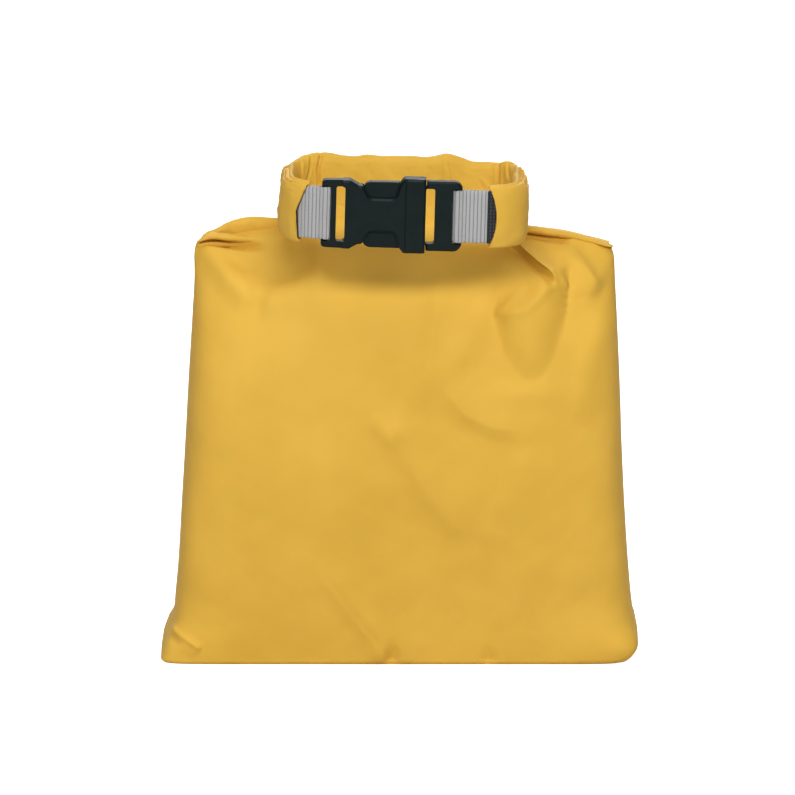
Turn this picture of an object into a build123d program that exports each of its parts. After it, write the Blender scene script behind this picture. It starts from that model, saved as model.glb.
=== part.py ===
"""Small roll-top stuff sack: taped fabric bag, rolled mouth with stiffener, webbing tabs, side-release buckle.

Millimetres. Origin at the middle of the base's underside, +Z up, the front faces -Y, +X is to the right.
"""
from build123d import *
from math import cos, radians, sin, tan
import os

# ---- bag body -------------------------------------------------------------------------------------------
fabric_wall = 0.6          # panel thickness
face_swell = 0.045         # share of the bag's depth by which its front and its back each swell
panel_gap = 0.2            # gap between panels where they are welded together
seam_rise_y = 8.5          # how far back the side seam leans from the base to the top
top_height = 162.6         # top ridge of the bag, under the roll's middle
closure_lean = 1.6         # degrees that the closure and the bag's top lean down to the right

# share of the bag's height, left edge, right edge, front, back, corner radius of each cross-section
bag_sections = [
    (0.00, -91.0, 88.0, -31.0, 31.0, 12.0),
    (0.07, -88.4, 87.6, -32.0, 31.5, 16.0),
    (0.25, -85.6, 85.2, -33.5, 32.5, 22.0),
    (0.46, -83.2, 83.0, -33.5, 32.5, 26.0),
    (0.64, -81.6, 81.9, -31.0, 30.5, 26.0),
    (0.78, -80.2, 80.8, -25.2, 27.0, 22.0),
    (0.885, -79.1, 79.7, -15.5, 22.2, 16.0),
    (0.948, -77.9, 77.6, -5.2, 17.4, 9.6),
    (0.98, -74.5, 70.5, 0.8, 15.0, 6.0),
    (1.00, -64.0, 54.0, 4.0, 13.5, 4.0),
]

base_thickness = 0.8
tape_width = 10.0
tape_thickness = 0.3
tape_gap = 0.5
base_tape_height = 8.0
side_tape_top_gap = 7.0    # from the bag's top ridge down to the end of each side tape

# ---- rolled mouth ---------------------------------------------------------------------------------------
roll_height = 23.6
roll_thickness = 6.6
roll_corner = 2.0          # width cut off each corner of the roll's section
roll_seat_gap = 0.15       # between the bag's top ridge and the roll
ring_half_width = 43.4     # middle of the roll at the two sides
ring_rear_y = 11.0         # middle of the roll at the rear
ring_rear_radius = 13.0
roll_end_left = 42.0       # degrees that each roll end follows its front corner
roll_end_right = 70.0

roll_channel_height = 20.8
roll_channel_thickness = 2.8
stiffener_height = 19.6
stiffener_thickness = 1.0
stiffener_setback = 14.0   # degrees of the front corner left free for the webbing's tail

# ---- webbing and buckle ---------------------------------------------------------------------------------
web_width = 20.0
web_thickness = 0.95       # one layer; each tab is folded double
web_bar_radius = 1.1
web_bar_gap = 0.2
web_tail = 11.0            # degrees of the front corner that the tail reaches into the roll
web_lead = 0.8             # straight webbing between the ring's front corner and the left web bar

buckle_mid_x = -4.5        # middle between the two web bars
buckle_half_span = 25.1    # from that middle to each web bar
buckle_y = -41.8           # mid-thickness of the buckle

slot_half_height = 10.45
female_thickness = 7.6
female_ring_thickness = 8.4
female_end_thickness = 4.2
female_half_height = 14.15  # at the mouth ring
female_end_half_height = 13.0
mouth_share = 0.504        # of the half span, from the buckle's middle to the socket's mouth
latch_share = 0.1434       # of the half span, to the latch face of the mouth ring
female_edge = 0.8          # chamfer round the socket half
female_bar_width = 1.9
open_slot_width = 3.3      # the slot that stays open beside the two bars
mouth_half_height = 11.35
cavity_half_thickness = 2.35
cavity_share = 0.538       # of the half span, from the middle to the cavity's blind end
cavity_end_half_height = 9.3
scoop_depth_z = 6.3        # lowest point of each side scoop, from the middle
web_slot_gap = 0.2

male_split_gap = 0.25
male_half_height = 13.2
male_thickness = 5.0
male_bar_width = 6.6
male_edge = 0.7            # chamfer round the plug half
plug_back_share = 0.3665   # of the half span, to the back of the plug
tongue_share = 0.339       # of the half span, to the tongue's tip
tongue_half_height = 1.3
slide_gap = 0.35           # plug, tongue and prongs inside the socket

bar_root = 1.0              # how far each web bar runs on into the buckle's rails
scoop_land = 1.55           # straight edge between the socket's slope and each side scoop
waist_step = 1.9            # how much narrower the socket is behind its web end
scoop_setback = 2.6         # from the deep cavity's end to the side scoops
window_lip = 1.0            # how far each side window bites into the mouth's height
root_overlap = 1.2          # how far plug and tongue run on into what carries them

prong_thickness = 4.0
prong_pivot_share = 0.4343  # of the half span, to the prongs' knuckles
prong_pivot_z = 8.3
prong_knuckle_radius = 1.15
prong_knuckle_gap = 0.15
prong_head_z = 12.5

# ---- hinges of the roll's two ends ----------------------------------------------------------------------
arm_pivot_half_span = 31.5  # from the buckle's middle to each fold line
arm_rise = 0.6              # degrees that each fold line leans, so an opened end rises clear of the bag
arm_gap = 0.3

# ---- worked out -----------------------------------------------------------------------------------------
roll_mid_z = top_height + roll_seat_gap + roll_height / 2
lean_rate = tan(radians(closure_lean))
closure = Plane(origin=(0, 0, roll_mid_z), x_dir=(1, 0, -lean_rate), z_dir=(lean_rate, 0, 1))
buckle = closure * Location((buckle_mid_x, buckle_y, 0))
web_outer_radius = web_bar_radius + web_bar_gap + web_thickness
ring_front_radius = ring_half_width + buckle_mid_x - buckle_half_span - web_lead
far = 400.0                # longer than anything in the part

parts = {}


def pillow(width, depth, corner, swell):
    """Rounded outline whose front and back edges swell outward in the middle."""
    shoulder = depth / 2 - swell
    front = ThreePointArc((-width / 2, -shoulder), (0, -depth / 2), (width / 2, -shoulder))
    back = ThreePointArc((width / 2, shoulder), (0, depth / 2), (-width / 2, shoulder))
    outline = make_face([front, Line(front @ 1, back @ 0), back, Line(back @ 1, front @ 0)])
    return fillet(outline.vertices(), corner)


def bag_solid(inset=0.0):
    """The bag's outer form, or a copy that lies inside it by the inset."""
    faces = []
    for share, left, right, front, back, corner in bag_sections:
        height = top_height * share - (inset if share == 1 else 0)
        level = Plane(
            origin=((left + right) / 2, (front + back) / 2, height - (left + right) / 2 * lean_rate * share),
            x_dir=(1, 0, -lean_rate * share),
            z_dir=(lean_rate * share, 0, 1),
        )
        swell = face_swell * (back - front)
        faces.append(level * pillow(right - left - 2 * inset, back - front - 2 * inset, corner - inset, swell))
    return loft(faces, ruled=True)


def between(plane, low, high):
    """A wide slab that fills the space between two offsets along a plane's normal."""
    return plane * Pos(0, 0, (low + high) / 2) * Box(far, far, high - low)


def keep(node, shape):
    """Write one piece to its own file."""
    parts[node] = shape
    export_step(shape, f"parts/{node}.step")


# ---- bag body -------------------------------------------------------------------------------------------
seam_plane = Plane(origin=(0, 0, 0), x_dir=(1, 0, 0), z_dir=(0, top_height, -seam_rise_y))
ground = Plane.XY


def make_bag():
    """Front, back and base panels, with the tape welded along the seams inside."""
    outer = bag_solid()
    shell = outer - bag_solid(inset=fabric_wall)
    walls = shell & between(ground, base_thickness + panel_gap, far / 2)
    keep("front_panel", walls & between(seam_plane, -far / 2, -panel_gap / 2))
    keep("back_panel", walls & between(seam_plane, panel_gap / 2, far / 2))
    keep("base_panel", outer & between(ground, 0, base_thickness))

    tape_outer = bag_solid(inset=fabric_wall + tape_gap)
    tape_inner = bag_solid(inset=fabric_wall + tape_gap + tape_thickness)
    tape_shell = tape_outer - tape_inner
    tape_floor = base_thickness + tape_gap
    tape_top = tape_floor + base_tape_height
    keep("base_tape", tape_shell & between(ground, tape_floor, tape_top))
    side_tapes = tape_shell & between(seam_plane, -tape_width / 2, tape_width / 2)
    side_tapes &= between(ground, tape_top + tape_gap, top_height - side_tape_top_gap)
    keep("side_tape_left", side_tapes & Pos(-far / 2, 0, 0) * Box(far, far, far * 2))
    keep("side_tape_right", side_tapes & Pos(far / 2, 0, 0) * Box(far, far, far * 2))


# ---- rolled mouth ---------------------------------------------------------------------------------------
def ring_path(side, end_angle, start_angle=None):
    """Middle line of one half of the roll, seen from above, from the rear's middle to its end.

    With a start angle, only the stretch of the front corner between the two angles.
    """
    front_y = buckle_y + ring_front_radius
    corner = (side * (ring_half_width - ring_front_radius), front_y)
    if start_angle is not None:
        start = (
            corner[0] + side * ring_front_radius * cos(radians(start_angle)),
            corner[1] - ring_front_radius * sin(radians(start_angle)),
        )
        heading = (-side * sin(radians(start_angle)), -cos(radians(start_angle)))
        return JernArc(start, heading, ring_front_radius, -side * (end_angle - start_angle))
    rear_turn = side * (ring_half_width - ring_rear_radius)
    rear = Line((0, ring_rear_y), (rear_turn, ring_rear_y))
    rear_corner = JernArc(rear @ 1, (side, 0), ring_rear_radius, -side * 90)
    run = Line(rear_corner @ 1, (side * ring_half_width, front_y))
    front_corner = JernArc(run @ 1, (0, -1), ring_front_radius, -side * end_angle)
    return rear + rear_corner + run + front_corner


def along_roll(path, height, thickness, corner=0.0):
    """A flat bar of the given section that follows a path in the closure's plane."""
    start = path @ 0
    heading = path % 0
    section = Plane(origin=start, x_dir=(0, 0, 1), z_dir=heading)
    outline = Rectangle(height, thickness)
    if corner:
        outline = chamfer(outline.vertices(), corner)
    return closure * sweep(section * outline, path=path)


def fold_plane(side):
    """Plane of one fold line, where the roll's end turns outward; its normal points to that side."""
    lean = radians(arm_rise)
    local = Plane(
        origin=(buckle_mid_x + side * arm_pivot_half_span, 0, 0),
        x_dir=(0, 1, 0),
        z_dir=(side * cos(lean), 0, sin(lean)),
    )
    return closure * local


def make_roll():
    """The rolled mouth: a rear run and two ends, each with its stretch of stiffener inside."""
    ends = {-1: ("left", roll_end_left), 1: ("right", roll_end_right)}
    rear_roll = None
    rear_strip = None
    for side, (name, end_angle) in ends.items():
        strip_angle = end_angle - stiffener_setback
        roll = along_roll(ring_path(side, end_angle), roll_height, roll_thickness, roll_corner)
        channel = along_roll(ring_path(side, end_angle), roll_channel_height, roll_channel_thickness)
        strip = along_roll(ring_path(side, strip_angle), stiffener_height, stiffener_thickness)
        roll -= channel
        beyond_fold = between(fold_plane(side), arm_gap / 2, far / 2)
        before_fold = between(fold_plane(side), -far / 2, -arm_gap / 2)
        keep(f"roll_{name}", roll & beyond_fold)
        keep(f"stiffener_{name}", strip & beyond_fold)
        rear_roll = roll & before_fold if rear_roll is None else rear_roll + (roll & before_fold)
        rear_strip = strip & before_fold if rear_strip is None else rear_strip + (strip & before_fold)
    keep("roll_rear", rear_roll)
    keep("stiffener_rear", rear_strip)


# ---- webbing tabs ---------------------------------------------------------------------------------------
def make_webbing():
    """Two tabs of doubled webbing, each from inside its roll end to a loop round its buckle half's bar."""
    for side, name, end_angle in ((-1, "left", roll_end_left), (1, "right", roll_end_right)):
        bend = ring_path(side, 90, end_angle - web_tail)
        bar = (buckle_mid_x + side * buckle_half_span, buckle_y)
        tab = trace(bend + Line(bend @ 1, bar), 2 * web_thickness)
        loop = Pos(*bar) * Circle(web_outer_radius) - Pos(*bar) * Circle(web_bar_radius + web_bar_gap)
        eye = Pos(*bar) * Circle(web_bar_radius + web_bar_gap)
        keep(f"webbing_{name}", closure * extrude(tab - eye + loop, web_width / 2, both=True))


# ---- side-release buckle --------------------------------------------------------------------------------
def plate(outline, thickness):
    """A flat plate of an outline drawn in the buckle's front plane, centred on its mid-thickness."""
    return extrude(Plane.XZ * outline, thickness / 2, both=True)


def symmetric_outline(upper_edge):
    """Closed outline from its upper edge, drawn left to right, and its mirror image below."""
    lower_edge = mirror(upper_edge, Plane.XZ)
    left = Line(upper_edge @ 0, lower_edge @ 0)
    right = Line(upper_edge @ 1, lower_edge @ 1)
    return make_face([*upper_edge.edges(), *lower_edge.edges(), left, right])


def slot(x_from, x_to, half_height, corner=0.8):
    """A rounded slot through the buckle's thickness."""
    width = x_to - x_from
    outline = RectangleRounded(width, 2 * half_height, min(corner, width * 0.45))
    return plate(Pos((x_from + x_to) / 2, 0) * outline, far)


def box_between(x_from, x_to, half_y, z_from, z_to):
    """A block across the buckle's mid-thickness."""
    middle = Pos((x_from + x_to) / 2, 0, (z_from + z_to) / 2)
    return middle * Box(x_to - x_from, 2 * half_y, z_to - z_from)


def web_bar(side):
    """Round bar that one webbing tab loops over."""
    bar = Cylinder(web_bar_radius, 2 * (slot_half_height + bar_root))
    return Pos(side * buckle_half_span, 0, 0) * bar


female_mouth_x = mouth_share * buckle_half_span
female_ring_x = latch_share * buckle_half_span
cavity_end_x = -cavity_share * buckle_half_span
plug_back_x = plug_back_share * buckle_half_span
tongue_tip_x = -tongue_share * buckle_half_span
prong_pivot_x = prong_pivot_share * buckle_half_span
female_end_x = -buckle_half_span - web_bar_radius
web_reach = web_outer_radius + web_slot_gap
female_bar_x = -buckle_half_span + web_reach
female_slot_x = female_bar_x + female_bar_width
female_body_x = female_slot_x + open_slot_width
male_end_x = buckle_half_span + web_bar_radius
male_bar_x = buckle_half_span - web_reach
male_face_x = female_mouth_x + male_split_gap
male_inner_bar_x = male_bar_x - male_bar_width
scoop_left = cavity_end_x + scoop_setback


def make_female():
    """Socket half: two-bar web end, open side scoops, and the mouth ring that the prongs latch behind."""
    waist = female_end_half_height - waist_step
    scoop_right = female_ring_x - 0.4
    upper_edge = FilletPolyline(
        (female_end_x, female_end_half_height - 0.3),
        (female_body_x + 1.6, female_end_half_height),
        (scoop_left - scoop_land, waist),
        (scoop_left, waist),
        (scoop_left + 2.6, scoop_depth_z),
        (scoop_right - 2.0, scoop_depth_z),
        (scoop_right - 0.4, waist + 0.6),
        (scoop_right + 1.4, female_half_height),
        (female_mouth_x, female_half_height - 0.2),
        radius=[1.6, 1.4, 1.2, 2.4, 2.2, 1.2, 1.2],
    )
    body = plate(symmetric_outline(upper_edge), female_thickness)
    body = chamfer(body.edges().filter_by(Axis.Y, reverse=True), female_edge)
    ring_width = female_mouth_x - female_ring_x - 1.0
    ring = RectangleRounded(ring_width, 2 * female_half_height - 0.3, 1.4)
    ring = plate(Pos(female_mouth_x - ring_width / 2, 0) * ring, female_ring_thickness)
    body += chamfer(ring.edges().filter_by(Axis.Y, reverse=True), female_edge)
    end_relief = (female_thickness - female_end_thickness) / 2
    relief = box_between(-far, female_body_x - 0.9, end_relief, -far, far)
    wide = box_between(scoop_left, far, cavity_half_thickness, -mouth_half_height, mouth_half_height)
    deep_half = cavity_end_half_height
    deep = box_between(cavity_end_x, scoop_left, cavity_half_thickness, -deep_half, deep_half)
    window = box_between(scoop_left, female_ring_x, cavity_half_thickness, mouth_half_height - window_lip, far)
    body -= [Pos(0, side * female_thickness / 2, 0) * relief for side in (-1, 1)]
    body -= [wide, deep, window, mirror(window, Plane.XY)]
    body -= slot(-far, female_bar_x, slot_half_height, corner=0.3)
    body -= slot(female_slot_x, female_body_x, slot_half_height)
    keep("buckle_female", buckle * (body + web_bar(-1)))


def make_male():
    """Plug half: two-bar web end, the plug that fills the socket's mouth, and the guide tongue."""
    width = male_end_x - male_face_x
    frame = Pos((male_face_x + male_end_x) / 2, 0) * RectangleRounded(width, 2 * male_half_height, 3.2)
    square_side = Pos(male_face_x + width / 4, 0) * RectangleRounded(width / 2, 2 * male_half_height, 0.7)
    frame = plate(frame + square_side, male_thickness)
    frame = chamfer(frame.edges().filter_by(Axis.Y, reverse=True), male_edge)
    plug_half_y = cavity_half_thickness - slide_gap
    plug_half_z = mouth_half_height - slide_gap
    slot_x = male_face_x - 0.3
    body = frame + box_between(plug_back_x, male_face_x + root_overlap, plug_half_y, -plug_half_z, plug_half_z)
    body -= slot(slot_x, male_inner_bar_x, slot_half_height)
    body -= slot(male_bar_x, far, slot_half_height, corner=0.3)
    body += box_between(tongue_tip_x, plug_back_x + root_overlap, plug_half_y, -tongue_half_height, tongue_half_height)
    body = fillet(body.edges().filter_by(Axis.Y).sort_by(Axis.X)[:2], tongue_half_height * 0.8)
    knuckle_seat = prong_knuckle_radius + prong_knuckle_gap
    swing = prong_knuckle_radius + 0.5
    for side in (-1, 1):
        seat = plate(Pos(prong_pivot_x, side * prong_pivot_z) * Circle(knuckle_seat), far)
        mouth_low = side * (prong_pivot_z - swing)
        mouth_high = side * (prong_pivot_z + knuckle_seat + 0.5)
        gate = box_between(plug_back_x - 1.0, prong_pivot_x, far, *sorted((mouth_low, mouth_high)))
        body -= [seat, gate]
    keep("buckle_male", buckle * (body + web_bar(1)))


def make_prongs():
    """The two latch prongs: a knuckle at the plug, a flat arm, and a hooked head in the socket's window."""
    latch_x = female_ring_x - slide_gap
    neck_z = mouth_half_height - 2 * slide_gap - 0.3
    head_end_x = scoop_left + slide_gap
    tip_x = cavity_end_x + 0.9
    inner_z = scoop_depth_z - 0.4
    upper_side = FilletPolyline(
        (prong_pivot_x, prong_pivot_z + prong_knuckle_radius),
        (latch_x, neck_z),
        (latch_x, prong_head_z),
        (head_end_x, prong_head_z - 0.1),
        (head_end_x - 0.1, prong_pivot_z + 0.4),
        (tip_x, inner_z + 1.7),
        (tip_x, inner_z),
        (latch_x - 3.0, inner_z),
        (prong_pivot_x - 4.0, prong_pivot_z - prong_knuckle_radius),
        (prong_pivot_x, prong_pivot_z - prong_knuckle_radius),
        radius=[0.4, 0.7, 2.8, 0.5, 0.6, 0.6, 4.0, 4.0],
    )
    outline = make_face([*upper_side.edges(), Line(upper_side @ 1, upper_side @ 0)])
    outline += Pos(prong_pivot_x, prong_pivot_z) * Circle(prong_knuckle_radius)
    prong = plate(outline, prong_thickness)
    prong = chamfer(prong.edges().filter_by(Axis.Y, reverse=True), 0.25)
    keep("prong_upper", buckle * prong)
    keep("prong_lower", buckle * mirror(prong, Plane.XY))


os.makedirs("parts", exist_ok=True)
make_bag()
make_roll()
make_webbing()
make_female()
make_male()
make_prongs()
for node, shape in parts.items():
    print(node, len(shape.solids()), round(shape.volume, 1))
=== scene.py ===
import logging
from dataclasses import dataclass, field
from enum import Enum
from math import cos, pi, radians, sin

import bmesh
import bpy
import numpy as np
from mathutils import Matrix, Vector


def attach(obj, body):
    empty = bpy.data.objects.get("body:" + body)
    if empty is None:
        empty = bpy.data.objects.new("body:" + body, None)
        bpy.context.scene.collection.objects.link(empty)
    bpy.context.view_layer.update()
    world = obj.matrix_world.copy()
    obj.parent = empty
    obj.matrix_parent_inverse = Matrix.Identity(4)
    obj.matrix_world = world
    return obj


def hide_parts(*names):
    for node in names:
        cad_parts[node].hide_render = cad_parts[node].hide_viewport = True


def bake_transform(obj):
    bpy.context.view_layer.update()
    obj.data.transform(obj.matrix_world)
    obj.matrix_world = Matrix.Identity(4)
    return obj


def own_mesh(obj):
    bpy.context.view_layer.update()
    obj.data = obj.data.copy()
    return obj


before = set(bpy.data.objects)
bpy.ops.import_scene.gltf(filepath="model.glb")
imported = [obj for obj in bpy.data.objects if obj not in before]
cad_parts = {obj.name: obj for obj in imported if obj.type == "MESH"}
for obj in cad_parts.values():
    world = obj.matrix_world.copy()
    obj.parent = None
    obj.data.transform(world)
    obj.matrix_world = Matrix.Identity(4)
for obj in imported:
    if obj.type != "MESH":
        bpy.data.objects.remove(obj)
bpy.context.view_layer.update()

MM = 0.001
TINY = 1e-9
WAVE_OCTAVES = 3        # how often the waves of a noise field halve in length
WAVE_FADE = 0.55        # height of each octave against the one before
WAVES_PER_OCTAVE = 5
WAVE_SUM = 2.2          # brings the sum of one octave's waves to about -1 to 1
log = logging.getLogger("stuff_sack")

Array = np.ndarray
Point = tuple[float, float, float]
Line = tuple[tuple[float, float], ...]
Faces = list[tuple[int, ...]]
Socket = bpy.types.NodeSocket


class Body(str, Enum):
    """The bodies that pieces ride on."""

    BAG = "bag"
    LEFT_ARM = "left_arm"
    RIGHT_ARM = "right_arm"
    SOCKET = "socket"
    PLUG = "plug"
    UPPER_PRONG = "upper_prong"
    LOWER_PRONG = "lower_prong"


class Slot(str, Enum):
    """The material slots that finishes fill."""

    FABRIC = "coated_fabric"
    TAPE = "seam_tape"
    STIFFENER = "stiffener"
    WEBBING = "webbing"
    PLASTIC = "buckle_plastic"


class Side(Enum):
    """Left or right end of the rolled mouth, seen from the front."""

    LEFT = -1
    RIGHT = 1

    @property
    def label(self) -> str:
        """The word that node names end in."""
        return self.name.lower()

    @property
    def arm(self) -> Body:
        """The body that this end of the roll rides on."""
        return Body.LEFT_ARM if self is Side.LEFT else Body.RIGHT_ARM


# ---- small tools ----------------------------------------------------------------------------------------
def smooth_step(value: Array, low: float, high: float) -> Array:
    """Rises smoothly from 0 at low to 1 at high.

    Args:
        value: Where to evaluate.
        low: Value below which the result is 0.
        high: Value above which the result is 1.

    Returns:
        The step, between 0 and 1.
    """
    share = np.clip((value - low) / (high - low), 0.0, 1.0)
    return share * share * (3.0 - 2.0 * share)


def curve_through(value: Array, points: Line) -> Array:
    """Smooth curve through a few points, by monotone cubic pieces.

    Args:
        value: Where to evaluate.
        points: The points, with rising first values.

    Returns:
        The curve's second values.
    """
    knots = np.array([p[0] for p in points], float)
    heights = np.array([p[1] for p in points], float)
    gaps = np.diff(knots)
    slopes = np.diff(heights) / gaps
    tangents = np.empty_like(heights)
    tangents[0], tangents[-1] = slopes[0], slopes[-1]
    tangents[1:-1] = np.where(slopes[:-1] * slopes[1:] > 0, (slopes[:-1] + slopes[1:]) / 2, 0.0)
    clipped = np.clip(value, knots[0], knots[-1])
    place = np.clip(np.searchsorted(knots, clipped) - 1, 0, len(gaps) - 1)
    t = (clipped - knots[place]) / gaps[place]
    rise = heights[place] * (2 * t**3 - 3 * t**2 + 1) + heights[place + 1] * (3 * t**2 - 2 * t**3)
    lean = tangents[place] * (t**3 - 2 * t**2 + t) + tangents[place + 1] * (t**3 - t**2)
    return rise + lean * gaps[place]


def noise_field(first: Array, second: Array, seed: int, scale: float) -> Array:
    """Smooth random waves over two coordinates.

    Args:
        first: First coordinate.
        second: Second coordinate.
        seed: Seed of the random directions.
        scale: Length of the longest wave.

    Returns:
        Values of about -1 to 1.
    """
    rng = np.random.default_rng(seed)
    total = np.zeros_like(first)
    weight_sum = 0.0
    for octave in range(WAVE_OCTAVES):
        weight = WAVE_FADE**octave
        for _ in range(WAVES_PER_OCTAVE):
            angle, phase = rng.uniform(0, 2 * pi, 2)
            stretch = rng.uniform(0.7, 1.4) * 2**octave / scale
            total += weight * np.sin(2 * pi * stretch * (first * cos(angle) + second * sin(angle)) + phase)
        weight_sum += weight * WAVE_SUM
    return total / weight_sum


def shade_smooth(mesh: bpy.types.Mesh) -> None:
    """Shades every face smoothly."""
    mesh.polygons.foreach_set("use_smooth", [True] * len(mesh.polygons))


def mesh_object(name: str, vertices: Array, faces: Faces) -> bpy.types.Object:
    """Makes a smoothly shaded mesh object at the origin.

    Args:
        name: Name of the piece.
        vertices: Positions in metres, one row each.
        faces: Vertex numbers of each face.

    Returns:
        The new object, linked to the scene.
    """
    mesh = bpy.data.meshes.new(name)
    mesh.from_pydata([tuple(v) for v in vertices], [], faces)
    shade_smooth(mesh)
    mesh.update()
    piece = bpy.data.objects.new(name, mesh)
    bpy.context.scene.collection.objects.link(piece)
    return piece


def grid_faces(rows: int, columns: int, wrap: bool = False) -> Faces:
    """Quads of a grid of vertices, numbered row by row.

    Args:
        rows: Number of rows.
        columns: Number of vertices in a row.
        wrap: Whether each row closes on itself.

    Returns:
        The quads.
    """
    faces = []
    last = columns if wrap else columns - 1
    for row in range(rows - 1):
        for column in range(last):
            right = (column + 1) % columns
            a = row * columns
            b = a + columns
            faces.append((a + column, a + right, b + right, b + column))
    return faces


def turn_faces(faces: Faces) -> Faces:
    """Turns the faces over."""
    return [face[::-1] for face in faces]


def join_parts(parts: list[tuple[Array, Faces]]) -> tuple[Array, Faces]:
    """Puts the points and faces of several parts into one list each."""
    faces, offset = [], 0
    for points, quads in parts:
        faces += [tuple(vertex + offset for vertex in quad) for quad in quads]
        offset += len(points)
    return np.concatenate([points for points, _ in parts]), faces


def unit(vectors: Array) -> Array:
    """Scales vectors along the last axis to length 1."""
    return vectors / np.maximum(np.linalg.norm(vectors, axis=-1, keepdims=True), TINY)


def clean_mesh(piece: bpy.types.Object, merge: float = 1e-6) -> None:
    """Merges doubles, then turns every face outwards."""
    work = bmesh.new()
    work.from_mesh(piece.data)
    bmesh.ops.remove_doubles(work, verts=work.verts, dist=merge)
    bmesh.ops.dissolve_degenerate(work, edges=work.edges, dist=merge)
    bmesh.ops.recalc_face_normals(work, faces=work.faces)
    work.to_mesh(piece.data)
    work.free()
    piece.data.update()


def bake_modifiers(piece: bpy.types.Object) -> None:
    """Turns the piece's modifiers into its mesh."""
    bpy.context.view_layer.update()
    evaluated = piece.evaluated_get(bpy.context.evaluated_depsgraph_get())
    mesh = bpy.data.meshes.new_from_object(evaluated)
    piece.modifiers.clear()
    piece.data = mesh


def give_wall(piece: bpy.types.Object, thickness: float, side: float = 0.0) -> None:
    """Gives a sheet its cloth's thickness.

    Args:
        piece: The sheet.
        thickness: The cloth's thickness, in metres.
        side: 0 for half on each side, -1 for all of it behind the faces.
    """
    wall = piece.modifiers.new("cloth_thickness", "SOLIDIFY")
    wall.thickness = thickness
    wall.offset = side
    bake_modifiers(piece)


def finish_piece(piece: bpy.types.Object, material: bpy.types.Material) -> None:
    """Gives a piece its material."""
    piece.data.materials.clear()
    piece.data.materials.append(material)


def finish_cloth(name: str, points: Array, wall: float, fabric: bpy.types.Material) -> bpy.types.Object:
    """Builds a strip of the bag's cloth from a grid of points and lets it ride on the bag.

    Args:
        name: Name of the piece.
        points: Grid of positions in millimetres.
        wall: Thickness of the cloth, in millimetres.
        fabric: The cloth.

    Returns:
        The strip.
    """
    piece = mesh_object(name, points.reshape(-1, 3) * MM, grid_faces(*points.shape[:2]))
    give_wall(piece, wall * MM)
    clean_mesh(piece)
    finish_piece(piece, fabric)
    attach(piece, Body.BAG.value)
    return piece


# ---- finishes -------------------------------------------------------------------------------------------
class TreeWriter:
    """Short way to add nodes to a tree."""

    def __init__(self, tree: bpy.types.NodeTree) -> None:
        """Starts on a tree."""
        self.tree = tree

    def node(self, kind: str, settings: dict | None = None, **inputs: object) -> bpy.types.Node:
        """Adds a node.

        Args:
            kind: Blender's name of the node type.
            settings: Properties of the node.
            inputs: Values or sockets for inputs, named as the input with _ for a space, or i and its number.

        Returns:
            The node.
        """
        made = self.tree.nodes.new(kind)
        for key, value in (settings or {}).items():
            setattr(made, key, value)
        for key, value in inputs.items():
            numbered = key[0] == "i" and key[1:].isdigit()
            self.feed(made.inputs[int(key[1:]) if numbered else key.replace("_", " ")], value)
        return made

    def feed(self, socket: Socket, value: object) -> None:
        """Links a socket to another, or sets its value."""
        if isinstance(value, bpy.types.NodeSocket):
            self.tree.links.new(value, socket)
        else:
            socket.default_value = value

    def math(self, operation: str, first: object, second: object = 0.0) -> Socket:
        """Adds a Math node and returns its result."""
        return self.node("ShaderNodeMath", {"operation": operation}, i0=first, i1=second).outputs[0]


class MaterialTree(TreeWriter):
    """Short way to write a material's nodes."""

    def __init__(self, name: str) -> None:
        """Starts a material with one Principled shader."""
        self.material = bpy.data.materials.new(name)
        self.material.use_nodes = True
        super().__init__(self.material.node_tree)
        self.shader = self.tree.nodes["Principled BSDF"]
        self.coordinates = self.tree.nodes.new("ShaderNodeTexCoord").outputs["Object"]

    def noise(self, scale: float, detail: float = 3.0, roughness: float = 0.5,
              vector: Socket | None = None) -> Socket:
        """Adds a noise texture over the object's own space and returns its value."""
        where = vector or self.coordinates
        made = self.node("ShaderNodeTexNoise", None, Vector=where, Scale=scale, Detail=detail,
                         Roughness=roughness)
        return made.outputs["Fac"]

    def stretched(self, scale: Point, turn: Point = (0.0, 0.0, 0.0)) -> Socket:
        """Adds a Mapping node over the object's own space and returns its vector."""
        made = self.node("ShaderNodeMapping", None, Vector=self.coordinates, Scale=scale, Rotation=turn)
        return made.outputs[0]

    def blend(self, share: Socket, low: Point, high: Point) -> Socket:
        """Mixes two colours by a share."""
        made = self.node("ShaderNodeMix", {"data_type": "RGBA"}, i0=share, i6=(*low, 1.0), i7=(*high, 1.0))
        return made.outputs[2]

    def span(self, value: Socket, low: float, high: float, to_low: float, to_high: float) -> Socket:
        """Maps a value's span to another."""
        made = self.node("ShaderNodeMapRange", None, Value=value, From_Min=low, From_Max=high, To_Min=to_low,
                         To_Max=to_high)
        return made.outputs[0]

    def bump(self, height: Socket, strength: float, distance: float, under: Socket | None = None) -> Socket:
        """Adds a Bump node and returns its normal."""
        made = self.node("ShaderNodeBump", None, Height=height, Strength=strength, Distance=distance)
        if under is not None:
            self.tree.links.new(under, made.inputs["Normal"])
        return made.outputs[0]

    def to_shader(self, **inputs: object) -> None:
        """Sets inputs of the shader, named as the input with _ for a space."""
        for key, value in inputs.items():
            self.feed(self.shader.inputs[key.replace("_", " ")], value)


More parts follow.
